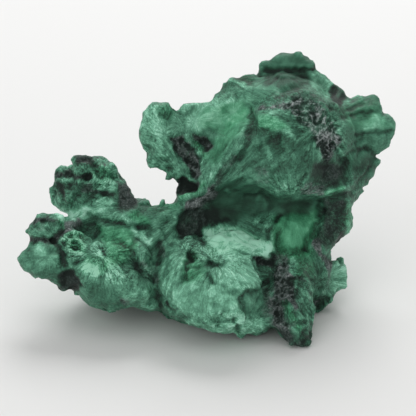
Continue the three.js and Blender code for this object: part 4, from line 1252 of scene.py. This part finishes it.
CRUST_PATCHES = [
    (0.85, 0.7, CAP_HOLLOW),
    (0.85, 0.7, CAP_CLEFT),
    (1.0, 0.6, DARK_HOLE),
    (0.6, 1.4, [(-5.9, 21.6), (-4.8, 25.8), (-1.8, 27.4), (0.4, 25.6), (1, 23), (-1.6, 21.6),
        (-4.2, 19.9)]),
    (0.95, 1.0, BAY_CORNER),
    (0.75, 1.2, [(9.6, 44.4), (12.4, 45.6), (15.4, 46), (16.6, 46.4), (20, 46), (22.6, 44.4),
        (24.4, 41.6), (25.4, 39), (24.4, 36.4), (22.4, 34.4), (20.8, 36.8), (19.6, 39.4),
        (17.2, 42), (15.4, 44), (13.2, 43.9)]),
    (0.4, 1.0, [(15, 46.6), (18.4, 48), (20.8, 46.8), (20, 45.8)]),
    (0.5, 1.4, [(8.6, 34.2), (11.6, 34), (11.8, 30.6), (9, 30.4)]),
    (0.35, 1.4, [(12.2, 31.4), (15, 31), (15, 28.6), (12.4, 28.4)]),
    (0.7, 1.0, [(17, 30.4), (19.4, 31), (22, 30), (22, 28.4), (17.4, 28.4)]),
    (0.65, 2.8, [(20, 34.4), (23, 35), (26, 34), (26, 31), (23.6, 30), (20.6, 30.4), (18.8, 32)]),
    (0.5, 1.2, [(22, 27.8), (25, 27.6), (25.6, 23), (24.8, 20.6), (22.8, 18.6), (20.4, 19.4),
        (22, 23)]),
    (0.6, 0.6, [(24.6, 28.6), (25.6, 28.4), (25.6, 26.4), (24.8, 26.4)]),
    (0.95, 0.7, [(8.8, 16.9), (9.6, 15.4), (12.2, 15), (12.8, 17.2), (11.2, 16.6)]),
    (0.8, 1.6, [(12.4, 17.2), (15.4, 17.4), (15.8, 14.4), (16.4, 12), (15.6, 9), (13, 9.6),
        (12.6, 13)]),
    (0.4, 2.4, [(10.4, 11.4), (17.6, 12.6), (17.4, 4), (15.4, 1.4), (12.4, 3.4), (9.8, 6.4)]),
    (0.6, 1.6, [(11.6, 9.4), (13.6, 8.6), (14.6, 6), (15.6, 4), (14.6, 2.6), (12.4, 4.4),
        (12.4, 6.8)]),
    (0.5, 1.4, [(-13.6, 16), (-11, 16.2), (-8.6, 14), (-8.4, 9.8), (-10.6, 12.6), (-13, 13.6)]),
    (0.7, 0.7, [(-15.9, 9.3), (-14, 9.4), (-13.8, 7.8), (-15.8, 7.7)]),
    (0.8, 0.8, [(-26.6, 23.6), (-23.4, 24), (-22.6, 22.8), (-24, 21.6), (-26, 21.6)]),
    (0.7, 1.0, [(-23.6, 30.8), (-21, 30.8), (-21.2, 29), (-23.4, 29)]),
    (0.7, 0.8, [(-24.4, 36.2), (-20.8, 36), (-21, 34.6), (-24.2, 34.2)]),
    (-0.75, 1.0, [(10, 51.4), (19.4, 51.4), (19, 47.8), (10, 48)]),
    (-2.2, 1.2, [(22.4, 49.2), (25, 48.4), (26.4, 46), (24.6, 44.8), (22.8, 45.6)]),
    (0.7, 0.8, [(-27.2, 14.2), (-24, 14.2), (-23.4, 11.2), (-27, 10.8)]),
    (0.6, 1.4, [(13.6, 4), (17, 2.6), (18.6, 0), (15, 0.4)]),
]
CRUST_STROKES = [
    (0.9, 1.4, [(-3.4, 26.6), (-0.6, 27.2), (1, 28.6)]),
    (0.6, 1.3, [(1, 28.6), (3.1, 32.8), (5.2, 35.2)]),
    (0.5, 1.1, [(7.8, 42.6), (10.4, 44.8)]),
    (0.6, 1.2, [(-8.4, 19.6), (-7.9, 17.2)]),
    (0.7, 0.7, [(-20.8, 28.9), (-17.4, 29)]),
    (0.7, 0.7, [(23, 15.6), (22.7, 12.4), (21.6, 10), (20.2, 8)]),
    (0.8, 0.8, [(15.4, 13.6), (17, 13.2), (18.5, 12.4)]),
    (0.7, 0.8, [(15.6, 11.6), (16.2, 9), (16.8, 7.6)]),
    (0.9, 1.1, [(20.2, 19.6), (21.2, 17.6), (22.6, 15.6)]),
    (0.8, 1.0, [(-32.6, 20.4), (-30, 20.1), (-28.2, 20.2), (-26.4, 21.6)]),
    (0.7, 0.8, [(-33, 23), (-31.4, 23.8), (-29.4, 24.2), (-27.6, 23.8)]),
    (0.7, 0.9, [(-28, 32.2), (-25.6, 32.4), (-24.4, 31.6), (-21.2, 31.6)]),
]
SILK_PATCHES = [  # more silk, or less where the ends of the fibres show
    (-0.8, 1.2, [(11.8, 31.4), (22, 31), (22.4, 28), (12, 28)]),
    (-0.5, 1.5, [(10, 40), (18, 38), (20, 34), (16, 32), (9, 33)]),
    (-0.6, 1.5, [(-12.4, 38), (-7, 38), (-5, 32), (-9, 33), (-11.6, 35.6)]),
    (-0.6, 1.2, [(26, 39.6), (35, 39.6), (33.6, 37), (28, 36.4)]),
    (-0.5, 1.5, WALL),
    (-0.8, 1.5, RIGHT_HOLLOW),
    (-0.5, 1.2, [(7.6, 24.4), (12.6, 25), (13, 21), (9, 21.6)]),
]

# %% [markdown]
# ## Hollows and edges
#
# Crust stays in hollows, and the paint also darkens hollows as painted shade and lightens edges as a
# painted highlight. Smoothing a copy of the points shows which is which: a point that stood outside
# the smoothed skin is on an edge, and a point that lay inside it is in a hollow.

# %% Measure the hollows and the edges
SMOOTHING = 0.6
WIDE_ROUNDS, NEAR_ROUNDS, FINE_ROUNDS = 90, 14, 4


def stand(thing, rounds):
    """How far each point stands out from the skin around it, mm: more rounds, wider around."""
    points = get_points(thing)
    smooth = averaged(edge_list(thing), points, [SMOOTHING] * rounds)
    return ((points - smooth) * get_normals(thing)).sum(1) / MM


wide_stand = stand(stone, WIDE_ROUNDS)
print("hollows and edges, mm:", np.percentile(wide_stand, [2, 50, 98]).round(2))

# %% [markdown]
# ## Fine relief
#
# Bump in a material fakes relief, but an edge seen from the side gives it away. What is wide enough
# for the mesh is therefore cut into it: the flutes between bundles of fibres, the lace of ridges on
# the crust, and small grains. The material adds only what is finer than that.

# %% Cut flutes, lace and grains
FLUTE, GRAIN = 0.15, 0.11
LACE, LACE_SPAN, LACE_WARP = 0.48, 1.4, 0.5
POCK_SPACING, POCK_DEPTH = 0.8, 0.2
POCK_SIZE = (0.02, 0.34)  # radius; only the largest are opened
FINE_RAGGED = 0.6
POCKED_PATCHES = [
    (0.35, 1.5, [(-12.4, 39), (-8, 38.6), (-5.6, 36), (-4.6, 32), (-9, 33), (-12, 36)]),
    (0.1, 1.5, [(25, 44), (30, 40), (34, 38), (30, 31), (26.6, 33)]),
    (0.5, 1.5, [(12, 31.4), (22, 30), (22, 28), (12, 28.4)]),
    (0.2, 1.5, [(16.6, 12), (20, 11), (19.4, 5), (17, 0), (14, 2), (15.6, 8)]),
    (0.15, 1.5, [(5, 36), (9, 40), (19, 37), (19, 33), (8, 33)]),
]
LACE_PATCHES = [
    (1.0, 1.0, [(9.8, 44.2), (13.4, 45.4), (16.6, 46.2), (20.4, 45.8), (23.6, 43.4), (25.2, 39.4),
        (24.4, 36.8), (22.4, 34.6), (20.8, 36.6), (19.8, 39.4), (17, 42.2), (14.6, 44)]),
    (0.5, 2.0, [(12.6, 16.4), (15.6, 16.6), (18.8, 12.6), (17, 9.4), (15.4, 5), (12.4, 4.4),
        (12, 10)]),
    (0.5, 1.0, CAP_NET),
]
points = get_points(stone)
spots = points / MM
edges = edge_list(stone)
normals = get_normals(stone)
fibres, along, streaks = nearest_spray(points)
face = ShowFace(stone, ragged=FINE_RAGGED)
silk = np.clip(1 - np.abs((fibres * normals).sum(1)) + face.tally(SILK_PATCHES), 0, 1)
unseen = 1 - face.sight
hollow = ramp(-wide_stand, 0.15, 1.2)
crust_in_hollows = hollow * ramp(layered(spots, 6.0, 82), -0.2, 0.2)
crust = unseen * np.maximum(crust_in_hollows, 0.7 * ramp(layered(spots, 8.0, 85), 0.25, 0.5))
crust += face.tally(CRUST_PATCHES, CRUST_STROKES) + 0.3 * hollow * face.sight
crust = np.clip(averaged(edges, crust, [0.5, 0.5]), 0, 1)
lace = face.tally(LACE_PATCHES) + unseen * crust * ramp(layered(spots, 7.0, 87), -0.1, 0.3)
lace = np.clip(lace, 0, 1)
warp = LACE_WARP * np.column_stack([noise(spots, 1.6, seed) for seed in (61, 62, 63)])
wide_net, fine_net = crests(spots + warp, LACE_SPAN, 31), crests(spots - warp, 0.8 * LACE_SPAN, 32)
ridge = ramp(np.maximum(wide_net, fine_net), 0.3, 0.95)
offset, number = cells(spots, POCK_SPACING, 33)
pock_size = np.random.default_rng(34).uniform(*POCK_SIZE, number.max() + 1)[number]
pocks = 1 - ramp(np.linalg.norm(offset, axis=1), 0.6 * pock_size, 1.5 * pock_size)
pocked = face.tally(POCKED_PATCHES) + 0.25 * unseen
pocks *= np.clip(pocked + 0.4 * layered(spots, 5.0, 35), 0, 1) * ramp(pock_size, 0.22, 0.24)
flutes = noise(streaks, 1.1, 5) + 0.6 * noise(streaks, 0.5, 6)
crisp = np.clip(1 + face.tally(CRISP_PATCHES), 0.15, 2.2)
silky = ramp(silk, 0.3, 0.8) * (1 - crust) * np.minimum(crisp, 1)
relief = FLUTE * flutes * silky * ramp(along, 1.0, 4.0)
relief += LACE * (ridge - 0.45) * lace * (0.6 + 0.5 * noise(spots, 2.3, 64))
relief -= POCK_DEPTH * pocks
grains = noise(spots, 0.75, 9) + 0.6 * noise(spots, 1.3, 10)
relief += GRAIN * grains * (1 - 0.7 * silky) * np.minimum(crisp, 1)
carve(stone, relief, along_view=0.0)
print("relief from", relief.min().round(2), "to", relief.max().round(2), "mm")

# %% Paint the numbers
lumps = layered(spots, 7.0, 60)
near_stand, fine_stand = stand(stone, NEAR_ROUNDS), stand(stone, FINE_ROUNDS)
# painted shade in hollows and a painted highlight on edges; the silk term is partly the stone's own
# paleness and partly painted sheen; the patches and strokes add painted shade and highlights on the
# show side along with its own tone
tone = 0.1 + 0.2 * lumps - 0.3 * hollow + 0.3 * (silk - 0.6)
tone += np.clip(1.0 * near_stand, -0.6, 0.3) + np.clip(3.5 * fine_stand, -0.5, 0.3)
tone += silky * (0.22 * noise(streaks, 1.3, 91) + 0.2 * noise(streaks, 0.6, 92))
tone += face.tally(TONE_AND_PAINTED_LIGHT_PATCHES, TONE_AND_PAINTED_LIGHT_STROKES) - 0.05 * face.sight
vivid = 0.8 * ramp(layered(spots, 9.0, 71), 0.1, 0.6) * unseen
vivid = vivid + face.tally(VIVID_PATCHES, VIVID_STROKES)
tone, vivid = (averaged(edges, one, [0.4]) for one in (tone, vivid))
# painted shade: pits darken the crust in the lace's hollows and in fine recesses, and the pocks are
# darkened in the tone; the lace's ridges get a painted highlight
pits = np.clip(lace * (1 - ridge) + ramp(-fine_stand, 0.02, 0.08) * 0.7, 0, 1)
tone += 0.3 * lace * (ridge - 0.5) - 0.7 * pocks
grain = np.clip(1 - silk * 1.3, 0, 1)
print("tone:", np.percentile(tone, [2, 50, 98]).round(2))

# %% Store the numbers on the skin
numbers = {
    "streak": streaks, "along": along, "tone": tone, "vivid": np.clip(vivid, 0, 1), "crust": crust,
    "pits": pits, "lace": lace, "grain": grain, "crisp": crisp,
}
for name, values in numbers.items():
    store(stone.data, name, values)
print("stored:", ", ".join(numbers))

# %% [markdown]
# ## The stone's finish
#
# Malachite is not one green. The material picks a place on a scale from black-green through deep
# and mid green to mint, using the stored tone plus streaks drawn in the fibre direction. A second
# scale, purer and yellower, takes over on the vivid walls, and a dull purple-grey on the crust.
# Silky stone is a little glossy and crust is not, and a soft sheen gives the velvet look of fibre
# ends.

# %% Build the material
class LookBoard(Board):
    """A board for shader nodes: every method here adds one node and gives back its output."""

    def stored(self, name):
        """A number that the skin carries."""
        return self.add("ShaderNodeAttribute", attribute_name=name).outputs["Fac"]

    def maths(self, operation, a, b=0.0, c=0.0):
        """A sum of up to three values."""
        return self.add("ShaderNodeMath", {0: a, 1: b, 2: c}, operation=operation).outputs[0]

    def plus(self, total, value, gain):
        """The total with a gained value added."""
        return self.maths("MULTIPLY_ADD", value, gain, total)

    def centred(self, value):
        """A value from 0 to 1 moved to lie evenly about zero."""
        return self.maths("SUBTRACT", value, 0.5)

    def range(self, value, start, end, low=0.0, high=1.0):
        """The value carried smoothly from one span to another."""
        spans = {"Value": value, "From Min": start, "From Max": end, "To Min": low, "To Max": high}
        return self.add("ShaderNodeMapRange", spans, interpolation_type="SMOOTHSTEP").outputs[0]

    def texture(self, vector, scale, detail, roughness=0.55):
        """Noise from 0 to 1."""
        feeds = {"Vector": vector, "Scale": scale, "Detail": detail, "Roughness": roughness}
        return self.add("ShaderNodeTexNoise", feeds).outputs["Fac"]

    def scale_of(self, value, stops):
        """The colour at a place on a scale of stops."""
        node = self.add("ShaderNodeValToRGB", {0: value})
        elements = node.color_ramp.elements
        while len(elements) < len(stops):
            elements.new(0.5)
        for element, (place, colour) in zip(elements, stops):
            element.position = place
            element.color = (*colour, 1)
        return node.outputs[0]

    def blend(self, share, a, b):
        """One colour turned into another by a share."""
        return self.add("ShaderNodeMix", {0: share, 6: a, 7: b}, data_type="RGBA").outputs[2]


CHIP_SCALE = 0.8  # chips to a streak
SHAKE_SCALE, SHAKE = 900.0, 0.9 * MM  # scales from here on are counts to a metre
NET_SCALE = 1050.0
BUMP = 0.25 * MM
GREENS = [
    (0.0, (0.008, 0.018, 0.013)), (0.22, (0.020, 0.066, 0.040)), (0.45, (0.050, 0.170, 0.105)),
    (0.68, (0.118, 0.330, 0.215)), (0.86, (0.215, 0.540, 0.365)), (1.0, (0.400, 0.760, 0.580)),
]
VIVIDS = [
    (0.0, (0.006, 0.022, 0.012)), (0.25, (0.018, 0.095, 0.045)), (0.5, (0.045, 0.235, 0.115)),
    (0.75, (0.110, 0.420, 0.230)), (1.0, (0.300, 0.680, 0.450)),
]
CRUSTS = [
    (0.0, (0.009, 0.016, 0.013)), (0.25, (0.028, 0.044, 0.038)), (0.5, (0.068, 0.088, 0.082)),
    (0.75, (0.155, 0.182, 0.178)), (1.0, (0.340, 0.370, 0.370)),
]


def malachite():
    """The whole specimen's material."""
    material = bpy.data.materials.new("fibrous malachite")
    material.use_nodes = True
    material.node_tree.nodes.clear()
    b = LookBoard(material.node_tree)
    place = b.add("ShaderNodeTexCoord").outputs["Object"]
    streak = b.add("ShaderNodeAttribute", attribute_name="streak").outputs["Vector"]
    # tone and pits carry painted shade and highlights as well as the stone's own colour
    tone, vivid, crust = b.stored("tone"), b.stored("vivid"), b.stored("crust")
    pits, grain, crisp = b.stored("pits"), b.stored("grain"), b.stored("crisp")
    along = b.maths("MULTIPLY", b.stored("along"), 0.45)

    # chips along the fibres, and the cracks between them
    lengths = b.add("ShaderNodeVectorMath", {0: streak, 1: along}, operation="ADD").outputs[0]
    chipping = {"Vector": lengths, "Scale": CHIP_SCALE}
    chip = b.add("ShaderNodeTexVoronoi", chipping).outputs["Color"]
    crack = b.add("ShaderNodeTexVoronoi", chipping, feature="DISTANCE_TO_EDGE").outputs["Distance"]
    chip = b.add("ShaderNodeSeparateColor", {0: chip}).outputs[0]

    # a net of fine holes over the lace, painted darker inside as shade
    shake = b.add("ShaderNodeTexNoise", {"Vector": place, "Scale": SHAKE_SCALE}).outputs["Color"]
    shaking = {0: shake, 1: (SHAKE, SHAKE, SHAKE), 2: place}
    shaken = b.add("ShaderNodeVectorMath", shaking, operation="MULTIPLY_ADD").outputs[0]
    netting = {"Vector": shaken, "Scale": NET_SCALE}
    net = b.add("ShaderNodeTexVoronoi", netting, feature="DISTANCE_TO_EDGE").outputs["Distance"]
    mesh_holes = b.maths("MULTIPLY", b.range(net, 0.05, 0.3, -0.1, 0.36), b.stored("lace"))

    bundles = b.texture(streak, 1.6, 2.0)
    fine = b.texture(streak, 5.0, 3.0, 0.7)
    grains = b.texture(place, 2600.0, 2.0, 0.7)
    clouds = b.texture(place, 260.0, 3.0)
    silky = b.maths("SUBTRACT", 1.0, grain)

    # the place on the green scales
    height = b.plus(tone, b.centred(bundles), 1.3)
    height = b.maths("ADD", height, b.maths("MULTIPLY", b.centred(fine), b.plus(0.6, silky, 1.7)))
    height = b.maths("ADD", height, b.maths("MULTIPLY", b.centred(grains), b.plus(1.1, grain, 1.4)))
    height = b.maths("ADD", height, b.maths("MULTIPLY", b.centred(chip), 0.45))
    height = b.maths("SUBTRACT", height, b.range(crack, 0.0, 0.07, 0.35, 0.0))
    height = b.maths("ADD", tone, b.maths("MULTIPLY", b.maths("SUBTRACT", height, tone), crisp))
    height = b.plus(height, b.centred(clouds), 0.3)
    step = b.plus(0.46, height, 0.38)
    green = b.blend(vivid, b.scale_of(step, GREENS), b.scale_of(step, VIVIDS))

    # the crust, with a ragged border and painted shade in its pits and holes
    ragged = b.maths("ADD", b.centred(clouds), b.centred(fine))
    edge = b.range(b.plus(crust, ragged, 1.3), 0.3, 0.85)
    crust_and_shade = b.plus(b.plus(0.5, b.centred(grains), 1.4), b.centred(fine), 0.7)
    crust_and_shade = b.plus(b.plus(crust_and_shade, tone, 0.3), pits, -0.5)
    crust_and_shade = b.maths("SUBTRACT", crust_and_shade, mesh_holes)
    colour = b.blend(edge, green, b.scale_of(crust_and_shade, CRUSTS))

    rough = b.plus(b.range(fine, 0.2, 0.8, 0.42, 0.62), edge, 0.3)
    relief = b.plus(b.maths("MULTIPLY", grains, 0.8), fine, silky)
    relief = b.plus(relief, mesh_holes, -0.5)
    bump = {"Strength": 0.6, "Distance": BUMP, "Height": relief}
    shader = b.add("ShaderNodeBsdfPrincipled", {
        "Base Color": colour, "Roughness": rough, "Specular IOR Level": 0.22,
        "Sheen Weight": 0.02, "Sheen Roughness": 0.5,
        "Normal": b.add("ShaderNodeBump", bump).outputs[0],
    })
    b.add("ShaderNodeOutputMaterial", {"Surface": shader.outputs[0]})
    return material


stone.data.materials.clear()
stone.data.materials.append(malachite())
for polygon in stone.data.polygons:
    polygon.use_smooth = True
print("skin:", 2 * len(stone.data.polygons), "triangles")

# %% [markdown]
# ## Standing in for the solid
#
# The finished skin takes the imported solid's place and rides on its body, so wherever the solid goes
# the looks go with it.

# %% Hand the stone to the frame
stone.name = "fibrous-malachite"
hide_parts("malachite")
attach(stone, "root")

# %% [markdown]
# ## Floor, light and camera
#
# A pale sheet, a soft lamp high behind on the right, a wide one at the front left, a weak one
# overhead and a bright surrounding sky. The shadow falls forward and to the left and stays soft,
# and the silk still catches light on its upper faces.

# %% Stage, lamps and camera
FLOOR_HALF = 3.0  # metres
FLOOR_DROP = 0.02  # the sheet lies this far under the stone, in millimetres
FLOOR_COLOUR, FLOOR_ROUGHNESS = (0.76, 0.76, 0.752, 1), 0.9
AIM = Vector((0, 0, 0.02))  # where the lamps point
SKY_POWER = 0.535


def pale_floor():
    """A wide matt sheet under the stone."""
    mesh = bpy.data.meshes.new("pale sheet")
    s = FLOOR_HALF
    mesh.from_pydata([(-s, -s, 0), (s, -s, 0), (s, s, 0), (-s, s, 0)], [], [(0, 1, 2, 3)])
    sheet = new_object("pale-sheet", mesh)
    sheet.location.z = -FLOOR_DROP * MM
    material = bpy.data.materials.new("pale sheet")
    material.use_nodes = True
    shader = material.node_tree.nodes["Principled BSDF"]
    shader.inputs["Base Color"].default_value = FLOOR_COLOUR
    shader.inputs["Roughness"].default_value = FLOOR_ROUGHNESS
    mesh.materials.append(material)


def lamp(name, place, size, power):
    """A square soft lamp aimed at the stone, place in metres."""
    light = bpy.data.lights.new(name, "AREA")
    light.shape = "SQUARE"
    light.size = size
    light.energy = power
    holder = bpy.data.objects.new(name, light)
    holder.location = place
    holder.rotation_euler = (AIM - Vector(place)).to_track_quat("-Z", "Y").to_euler()
    bpy.context.scene.collection.objects.link(holder)


pale_floor()
lamp("lamp behind", (0.1, 0.62, 0.68), 0.5, 5.2)
lamp("lamp front left", (-0.6, -0.85, 0.5), 1.2, 3.6)
lamp("lamp above", (0.0, -0.25, 1.3), 0.8, 1.5)
world = bpy.data.worlds.new("room")
world.use_nodes = True
sky = world.node_tree.nodes["Background"]
sky.inputs["Color"].default_value = (1, 1, 1, 1)
sky.inputs["Strength"].default_value = SKY_POWER
bpy.context.scene.world = world

camera_data = bpy.data.cameras.new("eye")
camera_data.sensor_width = 36.0
WIDE = 77.24  # how many millimetres the view takes in, side to side, at the show face
camera_data.lens = camera_data.sensor_width * ARM / WIDE
camera = bpy.data.objects.new("eye", camera_data)
camera.location = from_show([*VIEWER, ARM])
camera.rotation_euler = (math.radians(90) - LEAN, 0, 0)
bpy.context.scene.collection.objects.link(camera)
bpy.context.scene.camera = camera
bpy.context.scene.view_settings.view_transform = "Standard"
